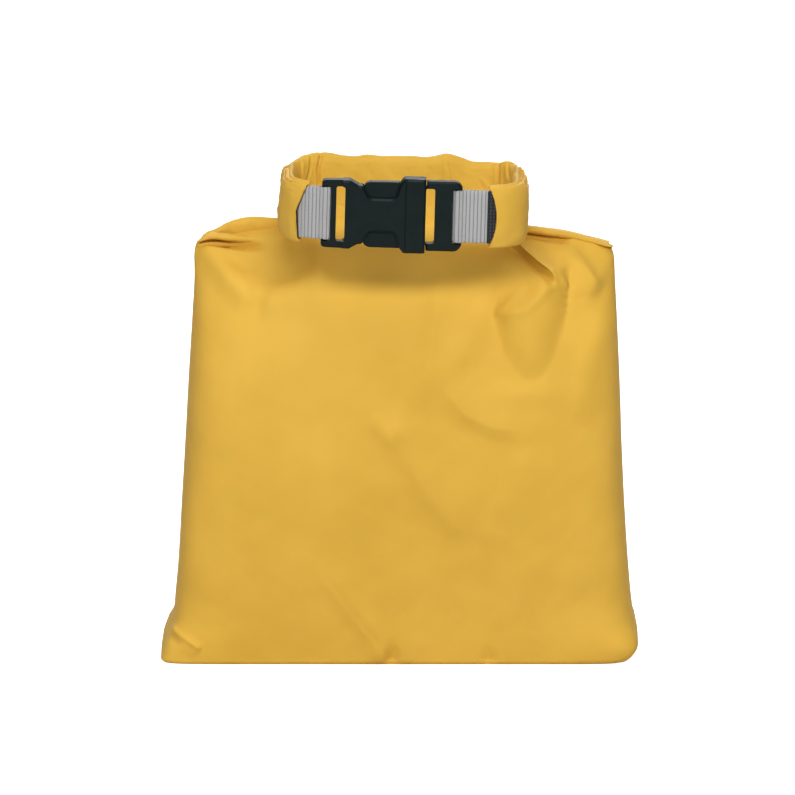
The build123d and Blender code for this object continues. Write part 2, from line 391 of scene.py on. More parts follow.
@dataclass(frozen=True)
class CoatedFabric:
    """Golden nylon with a satin coating: fine plain weave, faint shade drift, smooth sheen."""

    name: str = "golden_coated_nylon"
    deep: Point = (0.660, 0.406, 0.066)
    light: Point = (0.725, 0.452, 0.082)
    roughness: float = 0.60
    thread_pitch: float = 0.00042

    def build(self) -> bpy.types.Material:
        """Returns the material."""
        nodes = MaterialTree(self.name)
        drift = nodes.noise(22.0, 3.0, 0.55)
        colour = nodes.blend(nodes.span(drift, 0.3, 0.7, 0.0, 1.0), self.deep, self.light)
        turns = 2 * pi / self.thread_pitch
        split = nodes.node("ShaderNodeSeparateXYZ", None, Vector=nodes.coordinates)
        across = nodes.math("ADD", split.outputs[0], split.outputs[1])
        warp = nodes.math("SINE", nodes.math("MULTIPLY", across, turns))
        weft = nodes.math("SINE", nodes.math("MULTIPLY", split.outputs[2], turns))
        weave = nodes.math("MULTIPLY", warp, weft)
        grain = nodes.noise(900.0, 2.0, 0.6)
        rough = nodes.noise(260.0, 4.0, 0.6)
        soft = nodes.bump(nodes.noise(70.0, 3.0, 0.5), 0.12, 0.0012)
        rubbed = nodes.bump(grain, 0.05, 0.0003, soft)
        surface = nodes.bump(weave, 0.12, 0.00010, rubbed)
        nodes.to_shader(Base_Color=colour, Normal=surface)
        nodes.to_shader(Roughness=nodes.span(rough, 0.3, 0.7, self.roughness - 0.05, self.roughness + 0.06))
        nodes.to_shader(Specular_IOR_Level=0.15, Sheen_Weight=0.04, Sheen_Roughness=0.5)
        return nodes.material


@dataclass(frozen=True)
class RibbedWebbing:
    """Light grey polyester webbing; painted shade colours the grooves between its ribs dark grey."""

    name: str = "grey_webbing"
    # deep is painted shade for the grooves between the ribs, light the grey of the rib tops
    deep: Point = (0.17, 0.168, 0.172)
    light: Point = (0.465, 0.462, 0.466)
    thread_pitch: float = 0.0005

    def build(self) -> bpy.types.Material:
        """Returns the material."""
        nodes = MaterialTree(self.name)
        fibre = nodes.noise(1.0, 3.0, 0.6, nodes.stretched((1500.0, 1500.0, 3800.0)))
        # rib is 0 in the grooves and 1 on the rib tops: painted shade darkens the grooves towards deep
        rib = nodes.node("ShaderNodeAttribute", {"attribute_name": "rib"}).outputs["Fac"]
        share = nodes.math("MULTIPLY", nodes.span(fibre, 0.25, 0.75, 0.72, 1.0), rib)
        colour = nodes.blend(share, self.deep, self.light)
        split = nodes.node("ShaderNodeSeparateXYZ", None, Vector=nodes.coordinates)
        thread = nodes.math("SINE", nodes.math("MULTIPLY", split.outputs[2], 2 * pi / self.thread_pitch))
        surface = nodes.bump(fibre, 0.15, 0.0001, nodes.bump(thread, 0.3, 0.00012))
        nodes.to_shader(Base_Color=colour, Normal=surface, Roughness=0.72)
        nodes.to_shader(Specular_IOR_Level=0.35, Sheen_Weight=0.25, Sheen_Roughness=0.5)
        return nodes.material


@dataclass(frozen=True)
class MouldedPlastic:
    """Satin moulded plastic with a fine spark-eroded grain."""

    name: str = "charcoal_acetal"
    colour: Point = (0.0050, 0.0130, 0.0130)
    worn: Point = (0.0085, 0.0185, 0.0185)
    roughness: float = 0.42

    def build(self) -> bpy.types.Material:
        """Returns the material."""
        nodes = MaterialTree(self.name)
        patch = nodes.noise(160.0, 4.0, 0.6)
        colour = nodes.blend(nodes.span(patch, 0.35, 0.75, 0.0, 1.0), self.colour, self.worn)
        grain = nodes.noise(2600.0, 2.0, 0.6)
        nodes.to_shader(Base_Color=colour, Normal=nodes.bump(grain, 0.22, 0.00008))
        nodes.to_shader(Roughness=nodes.span(patch, 0.3, 0.7, self.roughness - 0.04, self.roughness + 0.08))
        nodes.to_shader(Specular_IOR_Level=0.25)
        return nodes.material


@dataclass(frozen=True)
class PlainCloth:
    """Small cloth parts: thread, tape, stiffener."""

    name: str
    colour: Point
    roughness: float = 0.7
    grain: float = 1500.0

    def build(self) -> bpy.types.Material:
        """Returns the material."""
        nodes = MaterialTree(self.name)
        fibre = nodes.noise(self.grain, 3.0, 0.6)
        low = tuple(0.75 * channel for channel in self.colour)
        colour = nodes.blend(nodes.span(fibre, 0.3, 0.7, 0.0, 1.0), low, self.colour)
        nodes.to_shader(Base_Color=colour, Roughness=self.roughness, Normal=nodes.bump(fibre, 0.3, 0.0001))
        return nodes.material


# ---- pieces that repeat ---------------------------------------------------------------------------------
class GeometryTree(TreeWriter):
    """Short way to write a Geometry Nodes tree that ends in one plain mesh."""

    def __init__(self, name: str, **sizes: float) -> None:
        """Starts a tree with one geometry and one number for each size.

        Args:
            name: Name of the tree.
            sizes: The named inputs and their values.
        """
        super().__init__(bpy.data.node_groups.new(name, "GeometryNodeTree"))
        face = self.tree.interface
        face.new_socket("Geometry", in_out="INPUT", socket_type="NodeSocketGeometry")
        self.sizes = sizes
        self.keys = {}
        for label in sizes:
            made = face.new_socket(label, in_out="INPUT", socket_type="NodeSocketFloat")
            self.keys[label] = made.identifier
        face.new_socket("Geometry", in_out="OUTPUT", socket_type="NodeSocketGeometry")
        self.start = self.tree.nodes.new("NodeGroupInput")

    def size(self, label: str) -> Socket:
        """The socket of a named input."""
        return self.start.outputs[label]

    def apply(self, geometry: Socket, material: bpy.types.Material, piece: bpy.types.Object) -> None:
        """Ends the tree, runs it on a piece and leaves the result as the piece's plain mesh."""
        whole = self.node("GeometryNodeRealizeInstances", None, Geometry=geometry).outputs[0]
        dressed = self.node("GeometryNodeSetMaterial", None, Geometry=whole, Material=material).outputs[0]
        end = self.tree.nodes.new("NodeGroupOutput")
        self.tree.links.new(dressed, end.inputs[0])
        modifier = piece.modifiers.new(self.tree.name, "NODES")
        modifier.node_group = self.tree
        for label, key in self.keys.items():
            modifier[key] = self.sizes[label]
        bake_modifiers(piece)


@dataclass(frozen=True)
class StitchRow:
    """Rows of thread stitches along given lines. Sizes in millimetres."""

    pitch: float = 1.5
    length: float = 1.1
    thread: float = 0.24

    def build(self, name: str, lines: list[Array], material: bpy.types.Material) -> bpy.types.Object:
        """Builds one stitch at every step along each line.

        Args:
            name: Name of the piece.
            lines: Points of each line in the row frame, in millimetres.
            material: The thread.

        Returns:
            The stitches as one mesh.
        """
        mesh = bpy.data.meshes.new(name)
        edges, start = [], 0
        for line in lines:
            edges += [(start + k, start + k + 1) for k in range(len(line) - 1)]
            start += len(line)
        mesh.from_pydata([tuple(p) for p in np.concatenate(lines) * MM], edges, [])
        piece = bpy.data.objects.new(name, mesh)
        bpy.context.scene.collection.objects.link(piece)
        work = GeometryTree(name + "_tree", Pitch=self.pitch * MM, Length=self.length * MM,
                            Thread=self.thread * MM)
        path = work.node("GeometryNodeMeshToCurve", None, Mesh=work.start.outputs[0]).outputs[0]
        steps = work.node("GeometryNodeResampleCurve", {"mode": "LENGTH"}, Curve=path,
                          Length=work.size("Pitch")).outputs[0]
        tangent = work.node("GeometryNodeInputTangent").outputs[0]
        turn = work.node("FunctionNodeAlignRotationToVector", {"axis": "Z"}, Vector=tangent).outputs[0]
        bead = work.node("GeometryNodeMeshUVSphere", None, Segments=8, Rings=6, Radius=1.0).outputs[0]
        half = work.math("MULTIPLY", work.size("Length"), 0.5)
        thread = work.size("Thread")
        scale = work.node("ShaderNodeCombineXYZ", None, i0=thread, i1=thread, i2=half).outputs[0]
        rows = work.node("GeometryNodeInstanceOnPoints", None, Points=steps, Instance=bead, Rotation=turn,
                         Scale=scale)
        work.apply(rows.outputs[0], material, piece)
        shade_smooth(piece.data)
        return piece


# ---- folds of the cloth ---------------------------------------------------------------------------------
STEP_SHARPNESS = 1.6    # how steeply a crease's step falls
RIM_STEPS = 90          # places at which the distance to a lobe's rim is taken
RIM_ROUNDNESS = 1.3     # how round a lobe rises from its rim
END_SPREAD = 1.2        # how much softer a lobe's ends get above its ridge


@dataclass(frozen=True)
class Crease:
    """A fold along a line of points, given as x and z.

    It stands out by its height on the line and fades to both sides, over a reach of its own on each side.
    A pinch cuts a narrow groove along the line. A step drops the cloth on one side only, at once, and lets it
    rise again over the step's reach.
    """

    line: Line
    height: float
    left_reach: float
    right_reach: float
    pinch: float = 0.0
    pinch_reach: float = 1.2
    step: float = 0.0
    step_side: int = 1
    step_soft: float = 1.6
    step_reach: float = 9.0
    fade: float = 0.25      # share of the line over which each end fades out

    def relief(self, x: Array, z: Array) -> Array:
        """How far this fold stands out at each point."""
        points = np.array(self.line, float)
        steps = np.linalg.norm(np.diff(points, axis=0), axis=1)
        lengths = np.concatenate([[0], np.cumsum(steps)])
        best = np.full(x.shape, 1e9)
        side = np.zeros(x.shape)
        along = np.zeros(x.shape)
        for number, size in enumerate(steps):
            direction = (points[number + 1] - points[number]) / size
            dx, dz = x - points[number, 0], z - points[number, 1]
            t = np.clip(dx * direction[0] + dz * direction[1], 0, size)
            ox, oz = dx - t * direction[0], dz - t * direction[1]
            distance = np.hypot(ox, oz)
            closer = distance < best
            best = np.where(closer, distance, best)
            turn = direction[0] * oz - direction[1] * ox
            side = np.where(closer, np.sign(turn), side)
            along = np.where(closer, (lengths[number] + t) / lengths[-1], along)
        ends = smooth_step(along, 0, self.fade) * smooth_step(1 - along, 0, self.fade)
        signed = best * side
        reach = np.where(signed >= 0, self.left_reach, self.right_reach)
        bell = np.exp(-((best / reach) ** 2))
        result = self.height * bell - self.pinch * np.exp(-((best / self.pinch_reach) ** 2))
        if self.step:
            lip = np.exp(-((best / self.step_reach) ** 1.5)) * (signed * self.step_side > 0)
            result = result + self.step * lip * (1 - np.exp(-STEP_SHARPNESS * best / self.step_soft))
        return result * ends


@dataclass(frozen=True)
class Dent:
    """A round or oval dent, or a bump if its height is above 0."""

    x: float
    z: float
    across: float
    up: float
    height: float
    turn: float = 0.0

    def relief(self, x: Array, z: Array) -> Array:
        """How far this dent stands out at each point."""
        c, s = cos(radians(self.turn)), sin(radians(self.turn))
        u = ((x - self.x) * c + (z - self.z) * s) / self.across
        w = (-(x - self.x) * s + (z - self.z) * c) / self.up
        return self.height * np.exp(-(u * u + w * w))


@dataclass(frozen=True)
class Lobe:
    """A hanging lobe: it rises from its lower rim to a ridge, and falls back softly above the ridge."""

    rim: Line
    ridge: Line
    height: float
    above: float
    slope: float
    side_soft: float
    end_soft: float = 1.0

    def relief(self, x: Array, z: Array) -> Array:
        """How far this lobe stands out at each point."""
        low = curve_through(x, self.rim)
        high = np.maximum(curve_through(x, self.ridge), low + 0.05)
        edge_x = np.linspace(self.rim[0][0], self.rim[-1][0], RIM_STEPS)
        edge_z = curve_through(edge_x, self.rim)
        near = np.full(x.shape, 1e9)
        for px, pz in zip(edge_x, edge_z):
            near = np.minimum(near, np.hypot(x - px, z - pz))
        inside = (x > self.rim[0][0]) & (x < self.rim[-1][0]) & (z > low)
        over = np.maximum(z - high, 0)
        share = np.clip((z - low) / (high - low), 0, 1)
        rise = (1 - np.exp(-((near / self.side_soft) ** RIM_ROUNDNESS))) * (1 - self.slope * (1 - share))
        fall = np.exp(-((over / self.above) ** 2))
        ends = np.minimum(x - self.rim[0][0], self.rim[-1][0] - x)
        side = smooth_step(ends / (self.end_soft + END_SPREAD * over), 0, 1)
        return self.height * rise * fall * side * inside


@dataclass(frozen=True)
class Wave:
    """Smooth random waves over a whole surface."""

    height: float
    length: float
    seed: int
    first_rate: float = 1.0
    second_rate: float = 1.0

    def relief(self, first: Array, second: Array) -> Array:
        """How far the waves stand out at each point."""
        first, second = self.first_rate * first, self.second_rate * second
        return self.height * noise_field(first, second, self.seed, self.length)


Fold = Crease | Dent | Lobe | Wave


def total_relief(folds: tuple[Fold, ...], x: Array, z: Array) -> Array:
    """How far all the folds together stand out at each point."""
    out = np.zeros_like(x)
    for fold in folds:
        out += fold.relief(x, z)
    return out


PLEAT_LINE = ((37.6, 158.8), (44.2, 152.5), (50.8, 146.2), (57.4, 139.9))

FRONT_FOLDS = (
    # left shoulder: soft V ridge under the ear, with the shade between its limbs
    Crease(((-77, 156), (-70, 149), (-62, 141), (-54.8, 134.5)), 2.6, 4.6, 4.6, fade=0.2),
    Crease(((-56, 135), (-45, 138.5), (-34, 144), (-24, 149)), 2.2, 5.0, 6.5, fade=0.22),
    Dent(-60, 149.0, 10, 3.4, -2.0, -8),
    Dent(-45, 146.0, 10, 3.2, -1.6, 12),
    # under the buckle: the panel falls in below the roll
    Dent(-2, 152, 30, 7, -1.3),
    Dent(38, 148, 14, 7.5, 5.0),
    # right shoulder: sharp pleat with a lit face over a shadowed pocket
    Crease(PLEAT_LINE, 1.7, 6.5, 1.0, step=-5.4, step_side=-1, step_soft=0.7, step_reach=2.0, fade=0.14),
    # dark lines between the lips on both shoulders
    Crease(((-77, 155.0), (-68, 155.2), (-60, 154.9), (-50, 155.2)), 0.0, 1.0, 1.0, pinch=3.6,
           pinch_reach=1.2, fade=0.3),
    Crease(((41, 157.6), (48, 157.8), (56, 156.6), (64, 155.4)), 0.0, 1.0, 1.0, pinch=3.0, pinch_reach=1.1,
           fade=0.25),
    Crease(((34, 149), (42, 144.3), (50, 140.9), (56.8, 139.6)), 1.0, 3.0, 3.5, fade=0.2),
    # soft lobe right of the pleat, with a pointed end at the right edge
    Lobe(((53.5, 146), (60, 138.2), (68, 136.9), (75.2, 137.2)),
         ((53.5, 153), (60, 151), (67, 145.5), (75.2, 138.2)), 1.8, 6.0, 0.5, 2.2, 6.0),
    Crease(((57, 150), (63, 147.0), (69, 143.0), (75.5, 138.6)), 1.6, 5.5, 6.0, fade=0.25),
    # hanging lobe: its lower rim is a U that starts at a sharp corner
    Lobe(((33.4, 133.2), (35.2, 124.5), (38.4, 116.4), (43.0, 110.9), (48.0, 108.8), (53, 111.3), (57, 118),
          (60.5, 129), (61.8, 139)),
         ((33.4, 133.6), (38, 131.6), (44, 131.2), (52, 136.5), (57.5, 139.5), (61.8, 141)), 7.6, 12.0, 0.86,
         4.8),
    Crease(((33.0, 133.6), (39.0, 131.4), (44.0, 131.8), (51.0, 136.6), (57, 142)), 0.7, 3.4, 1.8, fade=0.1),
    Dent(47.5, 103.5, 14, 4.4, 1.1),
    # darker band along the right edge
    Crease(((74.5, 138), (72.5, 124), (66.5, 105), (63.5, 90)), 1.3, 6.0, 5.0, fade=0.25),
    # soft upright edge below the buckle, and the slope right of it
    Crease(((13.3, 152), (12.6, 130.6), (10.4, 118), (3.0, 94)), 1.6, 8.0, 5.0, step=-1.0, step_side=1,
           step_soft=6.0, step_reach=11, fade=0.3),
    Crease(((34.5, 133.8), (24.5, 127.0), (18.0, 115.5), (13, 101)), 1.3, 6.0, 6.0, fade=0.25),
    # arc of the lower right: bright above, darker below
    Crease(((13, 108), (17.0, 103.0), (23.6, 95.8), (33.7, 91.0), (46, 89.6)), 1.4, 8.0, 4.2, step=-0.9,
           step_side=-1, step_soft=4.0, step_reach=14, fade=0.25),
    # lower front: small and large soft V, and the crease to the pucker
    Crease(((-13, 97), (-5.5, 87.7), (-1, 95)), 0.8, 3.0, 3.5, fade=0.3),
    Crease(((-10, 99), (-4.7, 88.5), (10, 66), (28.5, 44.8)), 1.3, 10.0, 5.0, fade=0.22),
    Crease(((28.5, 44.8), (36, 57), (42, 70.9), (46, 86)), 1.2, 5.0, 9.0, fade=0.22),
    Dent(23, 66, 12, 11, 0.7),
    Crease(((-31, 37), (-20, 22), (-10, 9), (-4.7, 1)), 1.0, 5.0, 3.4, pinch=0.3, pinch_reach=1.4, fade=0.2),
    Dent(-4.7, 2.6, 2.4, 5.0, -2.0),
    Dent(-8.5, 4.0, 3.4, 3.2, 0.9),
    Dent(32.0, 1.0, 2.5, 5.0, -1.0),
    Dent(-40, 60, 26, 34, 0.9),
    Dent(52, 48, 22, 30, 0.8),
    # corners of the base
    Crease(((-90, 13.6), (-84, 10.2), (-76, 5.4)), 1.4, 1.5, 3.4, step=-0.9, step_side=-1, step_soft=0.8,
           step_reach=3.2, fade=0.12),
    Dent(-86.4, 8.8, 2.6, 1.6, -1.1, -20),
    Dent(82, 5, 6, 5, 0.9),
    Wave(0.55, 70.0, 3, 1.0, 0.75),
    Wave(0.16, 22.0, 11, 1.3, 0.8),
)

BACK_FOLDS = (
    Wave(0.9, 80.0, 21, 1.0, 0.7),
    Wave(0.2, 24.0, 23),
    Crease(((-60, 156), (-46, 138), (-30, 128)), 1.1, 6.0, 5.0, fade=0.25),
    Crease(((58, 156), (44, 140), (26, 131)), 1.0, 5.0, 6.0, fade=0.25),
    Crease(((-20, 100), (0, 74), (22, 60)), 1.0, 9.0, 6.0, fade=0.3),
    Crease(((40, 30), (22, 14), (10, 2)), 0.8, 5.0, 4.0, fade=0.25),
    Crease(((-50, 26), (-38, 12), (-30, 2)), 0.7, 4.0, 5.0, fade=0.25),
    Dent(-10, 60, 34, 30, 1.0),
)


# ---- bag ------------------------------------------------------------------------------------------------
@dataclass
class BagShell:
    """The sewn bag: front and back panels with their creases, the base, and the tapes. Sizes in millimetres.

    The edges are given over the height along the seams, the depths and the boxiness over the height's share.
    """

    front_folds: tuple[Fold, ...]
    back_folds: tuple[Fold, ...]
    seam_height: float = 157.6
    seam_rise: float = 8.5
    rows: int = 290
    front_columns: int = 330
    back_columns: int = 130
    row_power: float = 0.97         # rows lie a little closer at the top
    seam_crowding: float = 0.75     # how much closer columns lie at the seams
    hems: Point = (0.02, 0.012, 0.01)           # over these shares folds fade in from seams, base and mouth
    base_columns: int = 240
    base_rings: tuple[float, ...] = (1.0, 0.985, 0.96, 0.93, *np.linspace(0.88, 0.02, 24))
    base_waves: Wave = Wave(0.5, 40.0, 5)
    ridge_share: float = 0.982      # from here up the panels close over the mouth
    foot_share: float = 0.008       # up to here the panels round into the base
    foot_inset: float = 0.9
    base_rise: float = 0.9
    tape_inset: float = 1.6
    tape_wall: float = 0.3
    left_edge: Line = (
        (0, -91.8), (1.5, -91.6), (4.5, -90.7), (8.2, -89.4), (11.4, -87.8), (15, -86.9), (21, -86.4),
        (33, -85.3), (57, -83.9), (81, -82.5), (105, -81.2), (130, -79.7), (146, -78.9), (152, -79.0),
        (155.5, -78.6), (157.6, -77.8))
    right_edge: Line = (
        (0, 84.0), (1.6, 85.8), (4, 87.9), (6.5, 88.6), (9.5, 88.2), (13, 87.2), (18, 86.4), (33, 85.0),
        (57, 83.5), (81, 82.4), (105, 81.6), (130, 80.5), (146, 79.7), (151, 79.5), (154, 79.0),
        (156.6, 77.5))
    front_depth: Line = (
        (0.0, -31.0), (0.07, -32.0), (0.25, -33.5), (0.46, -33.3), (0.64, -30.8), (0.78, -25.0),
        (0.885, -15.4), (0.948, -5.2), (0.98, 0.8), (1.0, 3.6))
    back_depth: Line = (
        (0.0, 31.0), (0.07, 31.5), (0.25, 32.5), (0.46, 32.3), (0.64, 30.3), (0.78, 26.8),
        (0.885, 22.0), (0.948, 17.3), (0.98, 15.0), (1.0, 13.5))
    boxiness: Line = (
        (0.0, 14.0), (0.03, 11.5), (0.06, 8.5), (0.1, 6.0), (0.25, 5.2), (0.46, 4.6), (0.8, 4.2), (0.95, 4.0),
        (1.0, 5.0))
    top_line: Line = (
        (-79, 154.8), (-70, 156.8), (-60, 158.8), (-46, 161.0), (-37, 163.0), (-32, 164.6), (0, 163.8),
        (22, 163.2), (28, 161.6), (46, 159.4), (60, 158.2), (72, 156.4), (80, 154.2))

    def edges(self, share: Array) -> tuple[Array, Array]:
        """Where the left and the right seam lie at a share of the height."""
        level = share * self.seam_height
        return curve_through(level, self.left_edge), curve_through(level, self.right_edge)

    def outline(self, share: Array, place: Array, front: bool) -> tuple[Array, Array, Array]:
        """Positions on one panel, before its creases.

        Args:
            share: Height as a share of the top line.
            place: -1 at the left seam to 1 at the right seam.
            front: Whether this is the front panel.

        Returns:
            The x, y and z positions.
        """
        left, right = self.edges(share)
        x = (left + right) / 2 + place * (right - left) / 2
        z = share * curve_through(x, self.top_line)
        seam = self.seam_rise * share
        deep = curve_through(share, self.front_depth if front else self.back_depth)
        power = curve_through(share, self.boxiness)
        bulge = np.clip(1 - np.abs(place) ** power, 0, 1) ** (1 / power)
        closing = ((share - self.ridge_share) / (1 - self.ridge_share)).clip(0, 1)
        ridge = np.sqrt(np.clip(1 - closing**2, 0, 1))
        rounding = (1 - share / self.foot_share).clip(0, 1)
        foot = self.foot_inset * (1 - np.sqrt(np.clip(1 - rounding**2, 0, 1)))
        depth = (deep - seam) * bulge * ridge
        y = seam + depth - np.sign(depth) * foot * np.minimum(1, np.abs(depth))
        return x - place * foot, y, z

    def panel(self, name: str, front: bool) -> bpy.types.Object:
        """Builds one panel as a grid from seam to seam, with its folds, which fade out towards its edges."""
        columns = self.front_columns if front else self.back_columns
        share = np.linspace(0, 1, self.rows) ** self.row_power
        place = -np.cos(np.linspace(0, pi, columns))
        place = self.seam_crowding * place + (1 - self.seam_crowding) * np.linspace(-1, 1, columns)
        share, place = np.meshgrid(share, place, indexing="ij")
        x, y, z = self.outline(share, place, front)
        points = np.stack([x, y, z], -1)
        along = np.gradient(points, axis=1)
        up = np.gradient(points, axis=0)
        normal = unit(np.cross(along, up) if front else np.cross(up, along))
        hem = np.ones_like(share)
        for edge, reach in zip((1 - np.abs(place), share, 1 - share), self.hems):
            hem = hem * np.clip(edge / reach, 0, 1)
        relief = total_relief(self.front_folds if front else self.back_folds, x, z)
        points = points + normal * (relief * hem)[..., None]
        faces = grid_faces(self.rows, columns)
        return mesh_object(name, points.reshape(-1, 3) * MM, faces if front else turn_faces(faces))

    def base(self, name: str) -> bpy.types.Object:
        """Builds the base as rings that shrink to its middle, and a cap."""
        turn = np.linspace(0, 2 * pi, self.base_columns, endpoint=False)
        share, place, forward = np.zeros_like(turn), np.cos(turn), np.sin(turn) < 0
        front, back = self.outline(share, place, True), self.outline(share, place, False)
        edge = np.stack([np.where(forward, front[axis], back[axis]) for axis in (0, 1)], -1)
        middle = edge.mean(0)
        points = []
        for ring in self.base_rings:
            flat = middle + (edge - middle) * ring
            drift = 1 + self.base_waves.relief(flat[:, 0], flat[:, 1])
            height = self.base_rise * (1 - ring) ** 0.5 * drift
            points.append(np.column_stack([flat, np.clip(height, 0, 2)]))
        faces = turn_faces(grid_faces(len(self.base_rings), len(turn), wrap=True))
        last = (len(self.base_rings) - 1) * len(turn)
        faces.append(tuple(range(last, last + len(turn))))
        return mesh_object(name, np.concatenate(points) * MM, faces)

    def build(self, fabric: bpy.types.Material) -> list[bpy.types.Object]:
        """Builds the bag's three panels as one closed skin."""
        panels = [self.panel("front_fabric", True), self.panel("back_fabric", False)]
        panels.append(self.base("base_fabric"))
        for piece, node in zip(panels, ("front_panel", "back_panel", "base_panel")):
            finish_piece(piece, fabric)
            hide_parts(node)
            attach(piece, Body.BAG.value)
        return panels

    def tape(self, name: str, low: float, high: float, places: tuple[float, float]) -> bpy.types.Object:
        """Builds a strip of tape inside the shell.

        Args:
            name: Name of the piece.
            low: Height of its lower edge, as a share.
            high: Height of its upper edge, as a share.
            places: From where to where it runs round the shell, in turns from the right seam over the back.

        Returns:
            The strip, with its thickness.
        """
        whole = places[1] - places[0] >= 1
        columns, rows = (361, 9) if whole else (25, 120)
        turn = 2 * pi * np.linspace(*places, columns)
        turn = turn[:-1] if whole else turn
        share, turn = np.meshgrid(np.linspace(low, high, rows), turn, indexing="ij")
        place = np.cos(turn)
        front, back = self.outline(share, place, True), self.outline(share, place, False)
        points = np.stack([front[0], np.where(np.sin(turn) < 0, front[1], back[1]), front[2]], -1)
        around = np.roll(points, -1, 1) - np.roll(points, 1, 1) if whole else np.gradient(points, axis=1)
        outward = unit(np.stack([around[..., 1], -around[..., 0]], -1))
        points[..., :2] -= outward * self.tape_inset
        piece = mesh_object(name, points.reshape(-1, 3) * MM, grid_faces(*turn.shape, wrap=whole))
        give_wall(piece, self.tape_wall * MM)
        clean_mesh(piece)
        return piece

    def build_tapes(self, material: bpy.types.Material) -> list[bpy.types.Object]:
        """Builds the tape that seals the seams inside."""
        tapes = []
        for node, low, high, places in (
            ("base_tape", 0.01, 0.062, (0.0, 1.0)),
            ("side_tape_left", 0.07, 0.95, (0.47, 0.53)),
            ("side_tape_right", 0.07, 0.95, (-0.03, 0.03)),
        ):
            piece = self.tape(f"{node}_film", low, high, places)
            finish_piece(piece, material)
            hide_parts(node)
            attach(piece, Body.BAG.value)
            tapes.append(piece)
        return tapes


@dataclass(frozen=True)
class PleatLip:
    """The free edge of a pleat: a narrow lip beside its line, over the pocket. Sizes in millimetres."""

    line: Line
    over: float             # how far the lip overhangs the pocket at its middle
    back: float             # how far it runs back on the lit side
    end_gap: float = 0.3
    hold: float = 0.45      # the overhang keeps the relief that the cloth has this far from the line
    closing: float = 4.5    # over this length both ends sink into the cloth
    taper: float = 0.7      # how soon the overhang gets wide, from its ends
    lift: float = 0.32
    sink: float = 1.3
    wall: float = 0.35
    rows: int = 120
    columns: int = 28

    def build(self, shell: BagShell, fabric: bpy.types.Material) -> bpy.types.Object:
        """Builds the lip on the front panel.

        Args:
            shell: The bag.
            fabric: The cloth.

        Returns:
            The lip.
        """
        knots = np.array(self.line, float)
        steps = np.concatenate([[0], np.cumsum(np.linalg.norm(np.diff(knots, axis=0), axis=1))])
        run = np.linspace(self.end_gap, steps[-1] - self.end_gap, self.rows)
        along = np.stack([np.interp(run, steps, knots[:, 0]), np.interp(run, steps, knots[:, 1])], -1)
        tangent = unit(np.gradient(along, axis=0))
        lit = np.stack([-tangent[:, 1], tangent[:, 0]], -1)
        wide = self.over * np.sin(pi * np.clip(run / run[-1], 0, 1))[:, None] ** self.taper
        offset = -wide + (wide + self.back) * np.linspace(0, 1, self.columns)[None, :]
        x, z = (along[:, [axis]] + lit[:, [axis]] * offset for axis in (0, 1))
        held = np.maximum(offset, self.hold)
        held_x, held_z = (along[:, [axis]] + lit[:, [axis]] * held for axis in (0, 1))
        relief = total_relief(shell.front_folds, held_x, held_z)
        share = z / curve_through(x, shell.top_line)
        left, right = shell.edges(share)
        points = np.stack(shell.outline(share, (2 * x - left - right) / (right - left), True), -1)
        normal = unit(np.cross(np.gradient(points, axis=1), np.gradient(points, axis=0)))
        normal *= -np.sign(normal[..., 1:2])
        ends = smooth_step(np.minimum(run, run[-1] - run), 0.0, self.closing)[:, None]
        depth = self.sink * (1 - ends + np.clip(offset / self.back, 0, 1)) - self.lift
        points = points + normal * (relief - depth)[..., None]
        return finish_cloth("pleat_lip", points, self.wall, fabric)


@dataclass(frozen=True)
class Throat:
    """The cloth that runs from the front panel up into the rear of the roll. Sizes in millimetres."""

    span: tuple[float, float] = (-35.0, 26.0)
    depth: Line = ((0.0, -3.4), (0.25, 0.6), (0.5, 4.2), (0.72, 6.6), (0.86, 7.7), (1.0, 9.2))
    height: Line = ((0.0, 150.0), (0.25, 153.8), (0.5, 158.0), (0.72, 163.6), (0.86, 168.5), (1.0, 173.0))
    tuck_reach: float = 9.0
    tuck_depth: float = 3.0
    lean_rate: float = 0.028
    waves: Wave = Wave(0.3, 26.0, 71, 1.0, 0.7)
    rows: int = 60
    columns: int = 150
    wall: float = 0.3

    def build(self, fabric: bpy.types.Material) -> bpy.types.Object:
        """Builds the cloth, whose two sides tuck back."""
        across = np.linspace(*self.span, self.columns)
        run, x = np.meshgrid(np.linspace(0, 1, self.rows), across, indexing="ij")
        z = curve_through(run, self.height)
        tuck = 1 - smooth_step(np.minimum(x - across[0], across[-1] - x), 0, self.tuck_reach)
        y = curve_through(run, self.depth) + self.tuck_depth * tuck**2 - self.waves.relief(x, z)
        return finish_cloth("throat_fabric", np.stack([x, y, z - x * self.lean_rate], -1), self.wall, fabric)


